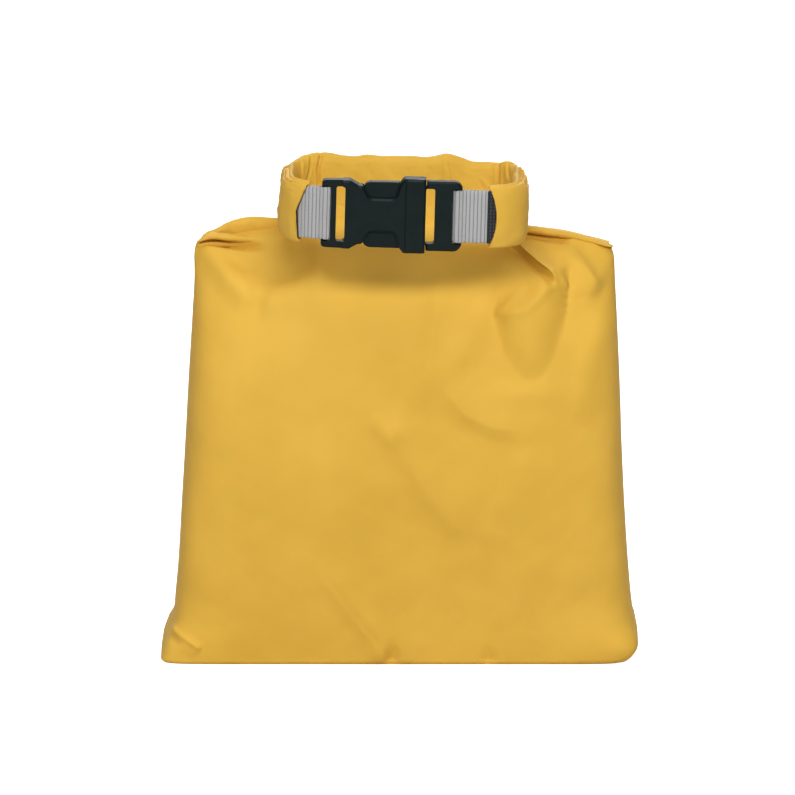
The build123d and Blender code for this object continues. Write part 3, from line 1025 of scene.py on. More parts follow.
# ---- shoulders -------------------------------------------------------------------------------------------
@dataclass(frozen=True)
class EarLayer:
    """One lip of folded cloth, from its lower to its upper line, seen from the front."""

    low: Line
    high: Line
    mid_y: float
    thickness: float
    wave: float
    wave_length: float = 14.0
    end_share: float = 0.07     # over this share of its length each end narrows
    corner_power: float = 0.8
    rows: int = 220
    columns: int = 56

    def points(self, seed: int) -> tuple[Array, Faces]:
        """Builds the lip as a flattened closed tube that narrows to both ends.

        Args:
            seed: Seed of its small waves.

        Returns:
            The points in the row frame and the faces.
        """
        along = np.linspace(0, 1, self.rows)
        around = np.linspace(0, 2 * pi, self.columns, endpoint=False)
        along, around = np.meshgrid(along, around, indexing="ij")
        low_x = self.low[0][0] + along * (self.low[-1][0] - self.low[0][0])
        high_x = self.high[0][0] + along * (self.high[-1][0] - self.high[0][0])
        low, high = curve_through(low_x, self.low), curve_through(high_x, self.high)
        body = np.clip(np.minimum(along, 1 - along) / self.end_share, 0, 1) ** 0.5
        c, s = np.cos(around), np.sin(around)
        power = self.corner_power
        round_c, round_s = np.sign(c) * np.abs(c) ** power, np.sign(s) * np.abs(s) ** power
        z = (high + low) / 2 + (high - low) / 2 * (0.3 + 0.7 * body) * round_s
        y = self.mid_y + self.thickness / 2 * (0.2 + 0.8 * body) * round_c
        x = low_x + (high_x - low_x) * (0.5 + 0.5 * round_s)
        y = y - Wave(self.wave, self.wave_length, seed).relief(x, z)
        faces = grid_faces(self.rows, self.columns, wrap=True)
        last = (self.rows - 1) * self.columns
        faces += [tuple(range(self.columns))[::-1], tuple(range(last, last + self.columns))]
        return np.stack([x, y, z], -1).reshape(-1, 3), faces


@dataclass
class Ear:
    """The folded end of the mouth on one shoulder: lips of cloth that lie under the swinging end."""

    side: Side
    layers: tuple[EarLayer, ...]
    anchor: Point
    first_seed: int = 31

    def build(self, fabric: bpy.types.Material) -> bpy.types.Object:
        """Builds the lips as one piece."""
        tubes = [layer.points(self.first_seed + number) for number, layer in enumerate(self.layers)]
        points, faces = join_parts(tubes)
        piece = mesh_object(f"shoulder_ear_{self.side.label}", points * MM, faces)
        clean_mesh(piece)
        finish_piece(piece, fabric)
        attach(piece, Body.BAG.value)
        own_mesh(piece)
        return piece


LEFT_EAR = (
    EarLayer(((-76.4, 155.0), (-70, 156.4), (-62, 156.2), (-54, 156.0), (-43, 156.4)),
             ((-75.8, 157.7), (-70.7, 159.4), (-66.9, 161.6), (-62.6, 163.2), (-56, 164.1), (-51, 163.7),
              (-46, 163.6)), 9.6, 4.4, 0.35),
    EarLayer(((-77.8, 154.9), (-72.5, 156.5), (-66, 155.9), (-58, 155.2), (-50, 155.4), (-42.5, 156.4)),
             ((-77.2, 156.6), (-72.0, 158.9), (-65, 158.5), (-57, 157.6), (-50, 157.1), (-42.5, 158.0)),
             4.2, 4.6, 0.2),
    EarLayer(((-78.2, 152.8), (-70, 152.8), (-61, 152.8), (-52, 153.4), (-43, 155.2)),
             ((-77.8, 155.2), (-70, 155.8), (-61, 155.7), (-52, 156.0), (-43, 157.2)), 5.8, 3.4, 0.15),
)

RIGHT_EAR = (
    EarLayer(((42, 158.9), (50, 158.2), (58, 157.0), (66, 155.6), (79.0, 152.9)),
             ((43, 161.8), (52, 160.8), (62, 159.3), (71, 156.9), (79.0, 154.0)), 5.6, 6.0, 0.25),
    EarLayer(((40.5, 154.8), (47, 154.6), (56, 153.8), (66, 152.9), (78.6, 151.6)),
             ((40.5, 159.8), (50, 159.2), (58, 158.0), (66, 156.5), (78.6, 153.6)), 7.6, 5.0, 0.15),
)


# ---- rolled mouth ---------------------------------------------------------------------------------------
@dataclass(frozen=True)
class RingPath:
    """The ring that the rolled mouth follows, seen from above, in the closure's own frame."""

    lean: float = 1.6
    mid_z: float = 174.55
    half_width: float = 43.4
    rear_y: float = 11.0
    radius: float = 13.0
    front_y: float = -28.8

    def place(self, local: Array) -> Array:
        """Turns points of the closure's frame into the row frame."""
        c, s = cos(radians(self.lean)), sin(radians(self.lean))
        x = local[..., 0] * c + local[..., 2] * s
        z = -local[..., 0] * s + local[..., 2] * c + self.mid_z
        return np.stack([x, local[..., 1], z], -1)

    def length(self, end_angle: float) -> float:
        """Length of one half of the ring, from the rear's middle to its end."""
        straight = self.half_width - self.radius + self.rear_y - self.radius - self.front_y
        return straight + self.radius * (pi / 2 + radians(end_angle))

    def at(self, distance: Array, side: Side) -> tuple[Array, Array]:
        """Points on the ring's middle line and its outward directions.

        Args:
            distance: Distance from the rear's middle.
            side: Which half of the ring.

        Returns:
            The points and the outward directions, two columns each.
        """
        r = self.radius
        rear = self.half_width - r
        corner = rear + r * pi / 2
        side_run = corner + self.rear_y - r - self.front_y
        zones = [distance < rear, distance < corner, distance < side_run]
        turn_a, turn_b = (distance - rear) / r, (distance - side_run) / r
        out_x = np.select(zones, [0.0, np.sin(turn_a), 1.0], np.cos(turn_b))
        out_y = np.select(zones, [1.0, np.cos(turn_a), 0.0], -np.sin(turn_b))
        centre_x = np.select(zones, [distance, rear, rear], rear)
        centre_y = np.select(zones, [self.rear_y - r, self.rear_y - r, self.rear_y - r - (distance - corner)],
                             self.front_y)
        x, y = centre_x + r * out_x, centre_y + r * out_y
        return np.stack([side.value * x, y], -1), np.stack([side.value * out_x, out_y], -1)


@dataclass(frozen=True)
class RollFold(Crease):
    """A crease in the roll's skin, on its inner or outer face, over distance along the roll and height."""

    inner: bool = True


LEFT_ROLL_FOLDS = (
    RollFold(((31, 13), (33, 6), (32.2, -2)), 0.6, 1.6, 1.4, pinch=1.5, pinch_reach=0.8, fade=0.2),
    RollFold(((35.5, 13), (37, 7), (40, 1)), 0.5, 1.4, 1.4, pinch=1.2, pinch_reach=0.7, fade=0.2),
    RollFold(((41.5, 13), (43, 6), (42, -3)), 0.5, 1.4, 1.6, pinch=1.5, pinch_reach=0.9, fade=0.2),
    RollFold(((47, 13), (49, 8), (54, 6)), 0.6, 1.6, 1.6, pinch=0.9, pinch_reach=0.7, fade=0.2, inner=False),
    RollFold(((39, 12), (42, 9), (41, 2)), 0.4, 1.2, 1.6, pinch=0.9, pinch_reach=0.8, fade=0.2, inner=False),
    RollFold(((12, 12.5), (13, 7), (11.5, 1)), 0.5, 3.0, 2.0, pinch=0.4, pinch_reach=1.0, fade=0.3),
    RollFold(((60, 4), (72, -2), (84, -8)), 0.35, 3.0, 3.0, fade=0.3, inner=False),
)

RIGHT_ROLL_FOLDS = (
    RollFold(((15.5, 13), (16.6, 7), (18, 0), (17, -7)), 0.9, 3.0, 1.8, pinch=0.7, pinch_reach=0.8, fade=0.2),
    RollFold(((36, 13), (37.5, 5), (37, -4)), 0.6, 1.6, 1.6, pinch=1.7, pinch_reach=0.9, fade=0.2),
    RollFold(((41, 13), (44, 8), (50, 5)), 0.5, 1.4, 1.6, pinch=1.3, pinch_reach=0.8, fade=0.2),
    RollFold(((27, 6), (31, 1), (34, -5)), 0.4, 1.6, 1.6, pinch=0.8, pinch_reach=0.7, fade=0.25),
    RollFold(((42, 10.8), (54, 9.4), (66, 10.2), (80, 10.8)), 0.7, 1.6, 1.6, pinch=2.6, pinch_reach=0.9,
             fade=0.12, inner=False),
    RollFold(((46, 6), (56, 3), (66, 4)), 0.4, 2.0, 2.0, pinch=0.3, pinch_reach=0.9, fade=0.3, inner=False),
    RollFold(((70, -3), (80, -8), (88, -10)), 0.35, 3.0, 3.0, fade=0.3, inner=False),
)


@dataclass
class RollHalf:
    """One half of the rolled mouth: a soft flattened roll of several layers, open at its end.

    Sizes in millimetres; distances run along the ring from the middle of its rear.
    """

    side: Side
    ring: RingPath
    end_angle: float                # the end's place, in degrees round the ring's front corner
    start: float
    folds: tuple[RollFold, ...]
    fold_x: float                   # a place along x for this half, in millimetres
    waves: tuple[Wave, ...] = (Wave(0.35, 30.0, 51), Wave(0.12, 9.0, 52, 1.0, 2.0))
    height: float = 23.6
    thickness: float = 6.4
    wall: float = 0.7
    inner_wall: float = 0.4
    step: float = 0.45
    columns: int = 96
    inner_columns: int = 64
    inner_rows: int = 60
    inner_relief: float = 0.4       # share of the wrinkles that the inner layers keep
    inner_layers: Line = ((1.0, 1.2), (1.7, 0.6), (2.35, 1.6))      # inset, and how far each ends back
    edge_power: float = 3.2
    end_swell: float = 0.45         # how far both faces stand out at the end
    swell_reach: float = 7.0
    end_squeeze: float = 0.45       # how much flatter the roll's section is at its end
    squeeze_reach: float = 11.0
    slant_reach: float = 10.0
    lap: float = 2.0
    lap_inset: float = 0.05
    lean_back: float = 0.10
    lean_span: tuple[float, float] = (30.0, 44.0)
    groove_depth: float = 2.6
    groove_span: tuple[float, float, float, float] = (38.0, 46.0, 80.0, 92.0)
    groove_turn: float = 1.42       # the groove's place round the section, in radians from outside
    groove_width: float = 0.17
    inner_lip: Point = (0.45, 1.1, 1.6)         # share of the depth, and from where to where
    fold_reach: tuple[float, float] = (4.5, 3.5)    # two reaches, before and after that place
    crest: Line = (
        (-96, -0.3), (-80, 0.3), (-56, 0.0), (-44, -0.6), (-38, 0.0), (-31, 0.9), (-23, 0.2), (-18.5, 0.0),
        (-14, 0.6), (-9, 0.2), (0, 0.4), (10.5, 0.5), (16, 1.6), (20.5, 0.9), (27, -0.9), (34, -0.9),
        (41, 0.5), (50, 0.5), (62, 0.0), (80, 0.6), (96, 0.2))

    def section(self, around: Array, half_up: float, half_out: float) -> tuple[Array, Array]:
        """Rounded outline of the roll's section: outward and upward offsets."""
        c, s = np.cos(around), np.sin(around)
        power = 2 / self.edge_power
        return half_out * np.sign(c) * np.abs(c) ** power, half_up * np.sign(s) * np.abs(s) ** power

    def wrinkles(self, distance: Array, around: Array, up: Array) -> Array:
        """How far the roll's skin stands out."""
        length = self.ring.length(self.end_angle)
        signed = distance * self.side.value
        out = total_relief(self.waves, signed, up)
        for fold in self.folds:
            facing = smooth_step(-np.cos(around) if fold.inner else np.cos(around), -0.5, 0.1)
            out += facing * fold.relief(distance, up)
        swell = self.end_swell * smooth_step(distance, length - self.swell_reach, length)
        return out + swell * np.cos(around) ** 2

    def end_slant(self, up: Array) -> Array:
        """How far the roll's end runs on or back at each height."""
        share = up / (self.height / 2)
        if self.side is Side.LEFT:
            return 1.1 + np.where(share > 0, 4.6, -0.9) * share
        return 0.7 + 0.2 * share + 2.6 * share**2

    def groove(self, distance: Array, around: Array) -> Array:
        """How deep the groove between the layers cuts into the crest."""
        span = self.groove_span
        window = smooth_step(distance, *span[:2]) * (1 - smooth_step(distance, *span[2:]))
        line = np.exp(-(((around - self.groove_turn) / self.groove_width) ** 2))
        share, low, high = self.inner_lip
        inside = share * smooth_step(-around, -self.groove_turn, -low) * (around < high)
        return self.groove_depth * window * (line + inside)

    def skin(self, inset: float, end_back: float, columns: int) -> tuple[Array, Faces]:
        """One layer of the roll, as a tube open at its end.

        Args:
            inset: How far the layer lies inside the outermost one, which has none.
            end_back: How far it ends before the roll's end.
            columns: Vertices round the tube.

        Returns:
            The points in the row frame and the faces.
        """
        outermost = inset == 0
        length = self.ring.length(self.end_angle) - end_back
        distance = np.linspace(self.start, length, int((length - self.start) / self.step))
        around = np.linspace(0, 2 * pi, columns, endpoint=False)
        distance, around = np.meshgrid(distance, around, indexing="ij")
        out, up = self.section(around, self.height / 2 - inset, self.thickness / 2 - inset)
        out = out * (1 - self.end_squeeze * smooth_step(distance, length - self.squeeze_reach, length - 1))
        shifted = distance + smooth_step(distance, length - self.slant_reach, length) * self.end_slant(up)
        relief = self.wrinkles(shifted, around, up) * (1 if outermost else self.inner_relief)
        crest = curve_through(shifted * self.side.value, self.crest) * smooth_step(up, -1.0, self.height / 2)
        middle, outward = self.ring.at(shifted, self.side)
        flat = np.hypot(np.cos(around), np.sin(around) * self.thickness / self.height)
        out = out + relief * np.cos(around) / flat
        up = up + relief * np.sin(around) * 0.5 + crest
        if outermost:
            up = up - self.groove(distance, around)
        out = out + up * self.lean_back * (1 - smooth_step(np.abs(distance), *self.lean_span))
        lapped = (self.side is Side.LEFT) * (distance < self.start + self.lap)
        out = out - self.lap_inset * lapped * np.sign(out)
        place = middle + outward * out[..., None]
        faces = grid_faces(*distance.shape, wrap=True)
        if self.side is Side.LEFT:
            faces = turn_faces(faces)
        return self.ring.place(np.concatenate([place, up[..., None]], -1)).reshape(-1, 3), faces

    def inner_layer(self, inset: float, end_back: float) -> tuple[Array, Faces]:
        """The last stretch of one inner layer, which shows in the roll's end."""
        points, faces = self.skin(inset, end_back, self.inner_columns)
        rows = self.inner_rows
        return points[-rows * self.inner_columns:], faces[:(rows - 1) * self.inner_columns]

    def build(self, fabric: bpy.types.Material) -> list[bpy.types.Object]:
        """Builds the roll's outer skin and the layers that show at its end."""
        points, faces = self.skin(0.0, 0.0, self.columns)
        outer = mesh_object(f"roll_skin_{self.side.label}", points * MM, faces)
        give_wall(outer, self.wall * MM, -1.0)
        outer.data.set_sharp_from_angle(angle=radians(55))
        points, faces = join_parts([self.inner_layer(*layer) for layer in self.inner_layers])
        layers = mesh_object(f"roll_layers_{self.side.label}", points * MM, faces)
        give_wall(layers, self.inner_wall * MM, -1.0)
        finish_piece(layers, fabric)
        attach(layers, self.side.arm.value)
        finish_piece(outer, fabric)
        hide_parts(f"roll_{self.side.label}", "roll_rear")
        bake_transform(outer)
        return [outer, layers]


# ---- webbing --------------------------------------------------------------------------------------------
@dataclass(frozen=True)
class LipShadowBand:
    """Near-black sheet of painted shadow under a roll end's lip. Angles in degrees round the ring's front
    corner.
    """

    start_angle: float
    stop_angle: float
    half_height: float
    stitch_angles: tuple[float, ...] = ()
    follows_lip: RollHalf | None = None
    wall: float = 0.3
    stitch_margin: float = 0.8


@dataclass
class WebbingTab:
    """Doubled ribbed webbing from inside a roll end, round one of the buckle's bars and back. Millimetres."""

    side: Side
    ring: RingPath
    end_angle: float
    bar_x: float
    bar_y: float = -41.8
    width: float = 19.8
    thickness: float = 0.9
    rib_pitch: float = 1.45
    rib_height: float = 0.17
    tail_angle: float = 11.0        # how far the tail reaches into the roll
    layer_gap: float = 0.04
    loop_radius: float = 1.45       # inside of the loop round the bar
    loop_shift: float = 0.45
    loop_overrun: float = 0.3       # how far the loop turns past half a turn, in radians
    loop_clearance: float = 0.15
    smoothing: int = 6
    step: float = 0.13
    jag: float = 0.16               # unevenness of the two long edges
    jag_pitch: float = 0.65
    edge_power: float = 14.0
    edge_thinning: float = 0.65
    rib_room: float = 0.12          # the strip is this much thinner on each face, and its ribs fill it
    rib_roundness: float = 0.7
    # painted shade: over this span up a rib the groove's dark grey gives way to the rib's light grey
    rib_painted_shade: tuple[float, float] = (0.05, 0.75)   # from where to where up a rib its shade rises
    cord_height: float = 0.03       # lengthwise cords of the weave
    cord_rate: float = 60.0
    lead_points: int = 24
    loop_points: int = 60
    rows: int = 61
    band_gap: float = 0.12

    def middle_line(self) -> tuple[Array, Array, Array]:
        """Points along the folded strip's middle, their sideways direction, and their distance along it."""
        half = (self.thickness + self.layer_gap) / 2
        run = self.ring.length(0.0)
        start = run + self.ring.radius * radians(self.end_angle - self.tail_angle)
        stop = run + self.ring.radius * pi / 2
        bend, outward = self.ring.at(np.arange(start, stop, 0.12), self.side)
        corner = np.array([self.side.value * (self.ring.half_width - self.ring.radius), self.bar_y])
        bar = np.array([self.bar_x, self.bar_y])
        straight = corner + (bar - corner) * np.linspace(0, 1, self.lead_points)[1:-1, None]
        middle = np.concatenate([bend, straight])
        outward = np.concatenate([outward, np.tile([0.0, -1.0], (len(straight), 1))])
        radius = self.loop_radius + self.thickness / 2
        outer, inner = middle + outward * half, middle - outward * half
        reach = 0.9 * np.sqrt(radius**2 - half**2)
        clear = np.hypot(*(outer - bar).T) > radius + self.loop_clearance
        before = (middle[:, 0] - self.bar_x) * self.side.value > reach
        outer, inner = outer[clear & before], inner[clear & before]
        turn = np.linspace(-pi / 2 - self.loop_overrun, pi / 2 + self.loop_overrun, self.loop_points)
        centre = bar - np.array([self.side.value * self.loop_shift, 0.0])
        loop = centre + radius * np.stack([-self.side.value * np.cos(turn), np.sin(turn)], -1)
        line = np.concatenate([outer, loop, inner[::-1]])
        for _ in range(self.smoothing):
            line[1:-1] = (line[:-2] + 2 * line[1:-1] + line[2:]) / 4
        along = np.concatenate([[0], np.cumsum(np.linalg.norm(np.diff(line, axis=0), axis=1))])
        even = np.arange(0, along[-1], self.step)
        line = np.stack([np.interp(even, along, line[:, 0]), np.interp(even, along, line[:, 1])], -1)
        tangent = unit(np.gradient(line, axis=0))
        return line, np.stack([tangent[:, 1], -tangent[:, 0]], -1), even

    def build(self, material: bpy.types.Material) -> bpy.types.Object:
        """Builds the tab as one closed strip with ribs on both faces."""
        line, normal, along = self.middle_line()
        rng = np.random.default_rng(40 + self.side.value)
        levels = np.linspace(-1, 1, self.rows)
        picks = np.arange(0, along[-1] + 1, self.jag_pitch)
        jag = self.jag * np.interp(along, picks, rng.uniform(-1, 1, len(picks)))
        edge = 1 - self.edge_thinning + self.edge_thinning * (1 - np.abs(levels) ** self.edge_power)
        cords = self.cord_height * np.sin(levels * self.cord_rate)
        offset = (self.thickness / 2 - self.rib_room + cords) * edge
        sections = []
        for point, out, more in zip(line, normal, jag):
            up = levels * (self.width / 2 + more)
            face_a = np.column_stack([point[0] + out[0] * offset, point[1] + out[1] * offset, up])
            face_b = np.column_stack([point[0] - out[0] * offset, point[1] - out[1] * offset, up])[::-1]
            sections.append(np.concatenate([face_a, face_b]))
        local = np.array(sections)
        count = local.shape[1]
        faces = grid_faces(len(local), count, wrap=True)
        faces += [tuple(range(count))[::-1], tuple(range((len(local) - 1) * count, len(local) * count))]
        points = self.ring.place(local).reshape(-1, 3) * MM
        piece = mesh_object(f"webbing_tab_{self.side.label}", points, faces)
        flat = np.column_stack([normal, np.zeros(len(normal))])
        outward = flat[:, None, :] * np.concatenate([edge, -edge[::-1]])[None, :, None]
        self.give(piece, "along", "FLOAT", "value", np.repeat(along, count) * MM)
        self.give(piece, "outward", "FLOAT_VECTOR", "vector", outward.ravel())
        self.add_ribs(piece, material)
        clean_mesh(piece)
        finish_piece(piece, material)
        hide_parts(f"webbing_{self.side.label}")
        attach(piece, self.side.arm.value)
        return piece

    @staticmethod
    def give(piece: bpy.types.Object, name: str, kind: str, key: str, values: Array) -> None:
        """Stores one value for each vertex of a piece."""
        made = piece.data.attributes.new(name, kind, "POINT")
        made.data.foreach_set(key, values.astype(np.float32))

    def add_ribs(self, piece: bpy.types.Object, material: bpy.types.Material) -> None:
        """Raises a rib at every pitch on both faces; stores how far up a rib each point is, for painted
        groove shade.
        """
        work = GeometryTree(piece.name + "_ribs", Pitch=self.rib_pitch * MM, Height=self.rib_height * MM)
        named = "GeometryNodeInputNamedAttribute"
        place = work.node(named, {"data_type": "FLOAT"}, Name="along").outputs[0]
        out = work.node(named, {"data_type": "FLOAT_VECTOR"}, Name="outward").outputs[0]
        turns = work.math("MULTIPLY", work.math("DIVIDE", place, work.size("Pitch")), pi)
        dome = work.math("POWER", work.math("ABSOLUTE", work.math("SINE", turns)), self.rib_roundness)
        rise = work.math("MULTIPLY", work.math("SUBTRACT", dome, 0.5), work.size("Height"))
        move = work.node("ShaderNodeVectorMath", {"operation": "SCALE"}, i0=out, Scale=rise).outputs[0]
        whole = work.start.outputs[0]
        raised = work.node("GeometryNodeSetPosition", None, Geometry=whole, Offset=move).outputs[0]
        # painted shade: grooves get 0 and rib tops 1, and the material darkens the grooves by it
        low, high = self.rib_painted_shade
        shade = work.node("ShaderNodeMapRange", {"interpolation_type": "SMOOTHSTEP"}, Value=dome,
                          From_Min=low, From_Max=high).outputs[0]
        kept = work.node("GeometryNodeStoreNamedAttribute", {"data_type": "FLOAT", "domain": "POINT"},
                         Geometry=raised, Name="rib", Value=shade).outputs[0]
        work.apply(kept, material, piece)

    def shadow_band(self, band: LipShadowBand, material: bpy.types.Material,
                thread: bpy.types.Material) -> list[bpy.types.Object]:
        """Builds the near-black band of painted shadow on the webbing under the roll's end, and its stitches.

        Args:
            band: Sizes of the band.
            material: The band's finish.
            thread: The stitches' finish.

        Returns:
            The band and its stitches.
        """
        run = self.ring.length(0.0)
        start = run + self.ring.radius * radians(band.start_angle)
        stop = run + self.ring.radius * radians(band.stop_angle)
        distance, level = np.meshgrid(np.linspace(start, stop, 16), np.linspace(-1, 1, 41), indexing="ij")
        up = level * band.half_height
        if band.follows_lip is not None:
            reach = (distance - start) / (stop - start)
            distance = start + reach * (stop - start + band.follows_lip.end_slant(up))
        middle, outward = self.ring.at(distance, self.side)
        face = self.thickness + self.band_gap
        local = np.concatenate([middle + outward * face, up[..., None]], -1)
        points = self.ring.place(local).reshape(-1, 3) * MM
        # near-black sheet: painted shadow in the gap under the roll end's lip
        strip = mesh_object(f"binding_band_{self.side.label}", points, grid_faces(*level.shape))
        give_wall(strip, band.wall * MM)
        clean_mesh(strip)
        finish_piece(strip, material)
        pieces = [strip]
        if band.stitch_angles:
            height = band.half_height - band.stitch_margin
            lines = []
            for angle in band.stitch_angles:
                place, out = self.ring.at(np.full(30, run + self.ring.radius * radians(angle)), self.side)
                place = place + out * (face + 0.2)
                lines.append(self.ring.place(np.column_stack([place, np.linspace(-height, height, 30)])))
            name = f"binding_stitches_{self.side.label}"
            stitches = StitchRow(pitch=1.25, length=0.95, thread=0.2).build(name, lines, thread)
            finish_piece(stitches, thread)
            pieces.append(stitches)
        for piece in pieces:
            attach(piece, self.side.arm.value)
        return pieces


# ---- buckle ---------------------------------------------------------------------------------------------
@dataclass(frozen=True)
class BuckleFinish:
    """Turns the buckle's machined solids into softly edged mouldings. Millimetres and degrees."""

    edge: float = 0.38
    edge_steps: int = 3
    edge_angle: float = 28.0
    corner: float = 1.5
    corner_steps: int = 5
    corner_reach: float = 1.2       # how far from the bar end the edge of a corner may lie
    corner_slack: float = 0.2       # how far from the extreme height it may lie
    corner_length: float = 1.0      # its least length
    corner_align: float = 0.97      # how well it has to point along y
    flat_angle: float = 1.5

    def round_corners(self, work: bmesh.types.BMesh) -> None:
        """Rounds the two outer corners at the socket's bar end."""
        limit = min(v.co.x for v in work.verts) + self.corner_reach * MM
        heights = [v.co.z for v in work.verts if v.co.x < limit]
        chosen = []
        for side in work.edges:
            first, second = side.verts
            long = side.calc_length() > self.corner_length * MM
            deep = abs((first.co - second.co).normalized().y) > self.corner_align
            outer = min(abs(first.co.z - z) for z in (min(heights), max(heights))) < self.corner_slack * MM
            if long and deep and outer and max(first.co.x, second.co.x) < limit:
                chosen.append(side)
        bmesh.ops.bevel(work, geom=chosen, offset=self.corner * MM, segments=self.corner_steps, profile=0.5,
                        affect="EDGES", clamp_overlap=False)

    def dress(self, node: str, body: Body, material: bpy.types.Material) -> bpy.types.Object:
        """Builds a moulded copy of a CAD node and puts it in the node's place."""
        piece = bpy.data.objects.new(f"{node}_moulded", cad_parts[node].data.copy())
        bpy.context.scene.collection.objects.link(piece)
        clean_mesh(piece, 2e-6)
        work = bmesh.new()
        work.from_mesh(piece.data)
        bmesh.ops.dissolve_limit(work, angle_limit=radians(self.flat_angle), verts=work.verts,
                                 edges=work.edges)
        if node == "buckle_female":
            self.round_corners(work)
        work.to_mesh(piece.data)
        work.free()
        shade_smooth(piece.data)
        bevel = piece.modifiers.new("soft_edges", "BEVEL")
        bevel.width, bevel.segments = self.edge * MM, self.edge_steps
        bevel.limit_method, bevel.angle_limit = "ANGLE", radians(self.edge_angle)
        piece.modifiers.new("even_normals", "WEIGHTED_NORMAL").keep_sharp = True
        bake_modifiers(piece)
        finish_piece(piece, material)
        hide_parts(node)
        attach(piece, body.value)
        return piece


# ---- studio ---------------------------------------------------------------------------------------------
@dataclass(frozen=True)
class SoftLight:
    """A soft light of a width and a height that faces the object. Metres and watts."""

    name: str
    place: Point
    size: tuple[float, float]
    power: float
    aim: Point = (0.0, 0.0, 0.09)

    def build(self) -> None:
        """Adds the light."""
        data = bpy.data.lights.new(self.name, "AREA")
        data.shape, data.energy = "RECTANGLE", self.power
        data.size, data.size_y = self.size
        light = bpy.data.objects.new(self.name, data)
        bpy.context.scene.collection.objects.link(light)
        light.location = self.place
        aim = Vector(self.aim) - Vector(self.place)
        light.rotation_euler = aim.to_track_quat("-Z", "Y").to_euler()


@dataclass(frozen=True)
class Studio:
    """Pale floor, soft lights, plain world and camera. Metres and degrees."""

    elevation: float = 11.5
    distance: float = 5.0
    lens: float = 600.6
    target: Point = (-0.0023, -0.005, 0.0974)
    floor_reach: float = 12.0
    floor_glow: float = 0.8         # the floor's own light, which only the camera sees
    world_light: float = 0.13
    lights: tuple[SoftLight, ...] = (
        SoftLight("key", (0.0, -1.9, 1.6), (3.0, 0.45), 41.0),
        SoftLight("fill", (0.0, -2.0, 0.3), (0.9, 0.9), 1.6),
        SoftLight("back", (0.0, 2.2, 1.3), (2.6, 0.8), 26.0),
        SoftLight("top", (0.0, -0.3, 2.0), (1.2, 1.2), 11.5),
    )

    def floor(self) -> None:
        """Adds the wide pale floor."""
        reach = np.linspace(-self.floor_reach, self.floor_reach, 5)
        points = [(x, y, -0.0002) for y in reach for x in reach]
        floor = mesh_object("studio_floor", np.array(points), grid_faces(len(reach), len(reach)))
        nodes = MaterialTree("studio_white")
        seen = nodes.node("ShaderNodeLightPath").outputs["Is Camera Ray"]
        glow = nodes.math("MULTIPLY", seen, self.floor_glow)
        nodes.to_shader(Base_Color=(0.72, 0.72, 0.72, 1.0), Roughness=0.9, Specular_IOR_Level=0.0)
        nodes.to_shader(Emission_Color=(1.0, 1.0, 1.0, 1.0), Emission_Strength=glow)
        floor.data.materials.append(nodes.material)

    def world(self) -> None:
        """Adds a world that is white where the camera sees it and dim where it lights the object."""
        world = bpy.data.worlds.new("studio")
        world.use_nodes = True
        nodes = TreeWriter(world.node_tree)
        background = nodes.tree.nodes["Background"]
        background.inputs["Color"].default_value = (1, 1, 1, 1)
        seen = nodes.node("ShaderNodeLightPath").outputs["Is Camera Ray"]
        level = nodes.node("ShaderNodeMapRange", None, Value=seen, To_Min=self.world_light, To_Max=1.0)
        nodes.feed(background.inputs["Strength"], level.outputs[0])
        bpy.context.scene.world = world
        bpy.context.scene.view_settings.view_transform = "Standard"
        bpy.context.scene.view_settings.look = "Medium High Contrast"

    def camera(self) -> None:
        """Adds the camera, which looks slightly down at the object's front."""
        data = bpy.data.cameras.new("camera")
        data.lens, data.sensor_width = self.lens, 36.0
        data.clip_start, data.clip_end = 0.5, 60.0
        camera = bpy.data.objects.new("camera", data)
        bpy.context.scene.collection.objects.link(camera)
        tilt = radians(self.elevation)
        away = Vector((0.0, -cos(tilt), sin(tilt)))
        camera.location = Vector(self.target) + away * self.distance
        camera.rotation_euler = (-away).to_track_quat("-Z", "Y").to_euler()
        bpy.context.scene.camera = camera

    def build(self) -> None:
        """Sets up floor, lights, world and camera."""
        self.floor()
        for light in self.lights:
            light.build()
        self.world()
        self.camera()


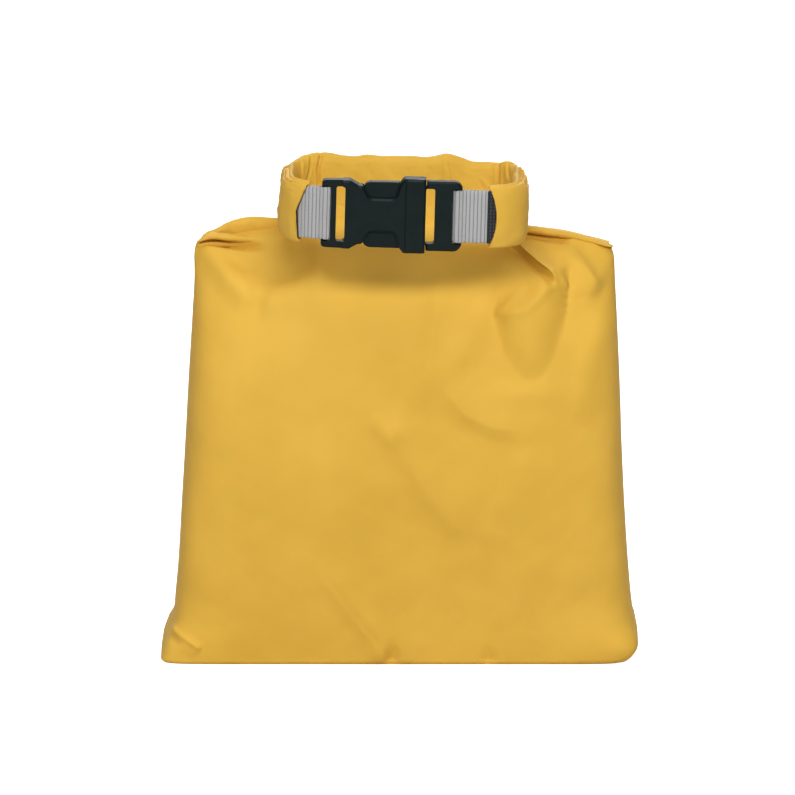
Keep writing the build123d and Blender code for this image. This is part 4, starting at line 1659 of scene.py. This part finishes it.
# ---- whole part -----------------------------------------------------------------------------------------
@dataclass
class StuffSack:
    """The whole part: bag, rolled mouth, webbing and buckle."""

    ring: RingPath = field(default_factory=RingPath)

    def build(self) -> list[bpy.types.Object]:
        """Builds every piece and returns it; most of them ride on a body."""
        fabric = CoatedFabric().build()
        webbing = RibbedWebbing().build()
        plastic = MouldedPlastic().build()
        tape = PlainCloth("seam_tape", (0.62, 0.52, 0.30), 0.35).build()
        strip = PlainCloth("stiffener_film", (0.05, 0.05, 0.055), 0.4).build()
        # near-black colour: painted shadow under the lips of the roll's ends
        band = PlainCloth("painted_lip_shadow", (0.020, 0.026, 0.030), 0.6).build()
        thread = PlainCloth("shadow_band_thread", (0.13, 0.085, 0.11), 0.6, 3000.0).build()
        bag = BagShell(FRONT_FOLDS, BACK_FOLDS)
        pieces = bag.build(fabric) + bag.build_tapes(tape) + [Throat().build(fabric)]
        pieces.append(PleatLip(PLEAT_LINE, over=0.3, back=7.5).build(bag, fabric))
        pieces.append(Ear(Side.LEFT, LEFT_EAR, (-0.06, 0.008, 0.1560)).build(fabric))
        pieces.append(Ear(Side.RIGHT, RIGHT_EAR, (0.06, 0.008, 0.1565)).build(fabric))
        left = RollHalf(Side.LEFT, self.ring, 42.0, -10.0, LEFT_ROLL_FOLDS, fold_x=-36.0)
        right = RollHalf(Side.RIGHT, self.ring, 70.0, 8.0, RIGHT_ROLL_FOLDS, fold_x=27.0)
        pieces += left.build(fabric) + right.build(fabric)
        left_tab = WebbingTab(Side.LEFT, self.ring, left.end_angle, bar_x=-29.6)
        right_tab = WebbingTab(Side.RIGHT, self.ring, right.end_angle, bar_x=20.6)
        pieces += [left_tab.build(webbing), right_tab.build(webbing)]
        pieces += left_tab.shadow_band(LipShadowBand(28.0, 43.6, 10.2, follows_lip=left), band, thread)
        pieces += right_tab.shadow_band(LipShadowBand(58.0, 86.5, 9.9, stitch_angles=(76.5, 81.5)), band, thread)
        finish = BuckleFinish()
        for node, body in (
            ("buckle_female", Body.SOCKET),
            ("buckle_male", Body.PLUG),
            ("prong_upper", Body.UPPER_PRONG),
            ("prong_lower", Body.LOWER_PRONG),
        ):
            pieces.append(finish.dress(node, body, plastic))
        for node in ("stiffener_rear", "stiffener_left", "stiffener_right"):
            finish_piece(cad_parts[node], strip)
        return pieces


def main() -> None:
    """Builds the classes in order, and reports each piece."""
    logging.basicConfig(level=logging.INFO)
    for piece in StuffSack().build():
        log.info("%s: %d faces", piece.name, len(piece.data.polygons))
    Studio().build()


if __name__ == "__main__":
    main()
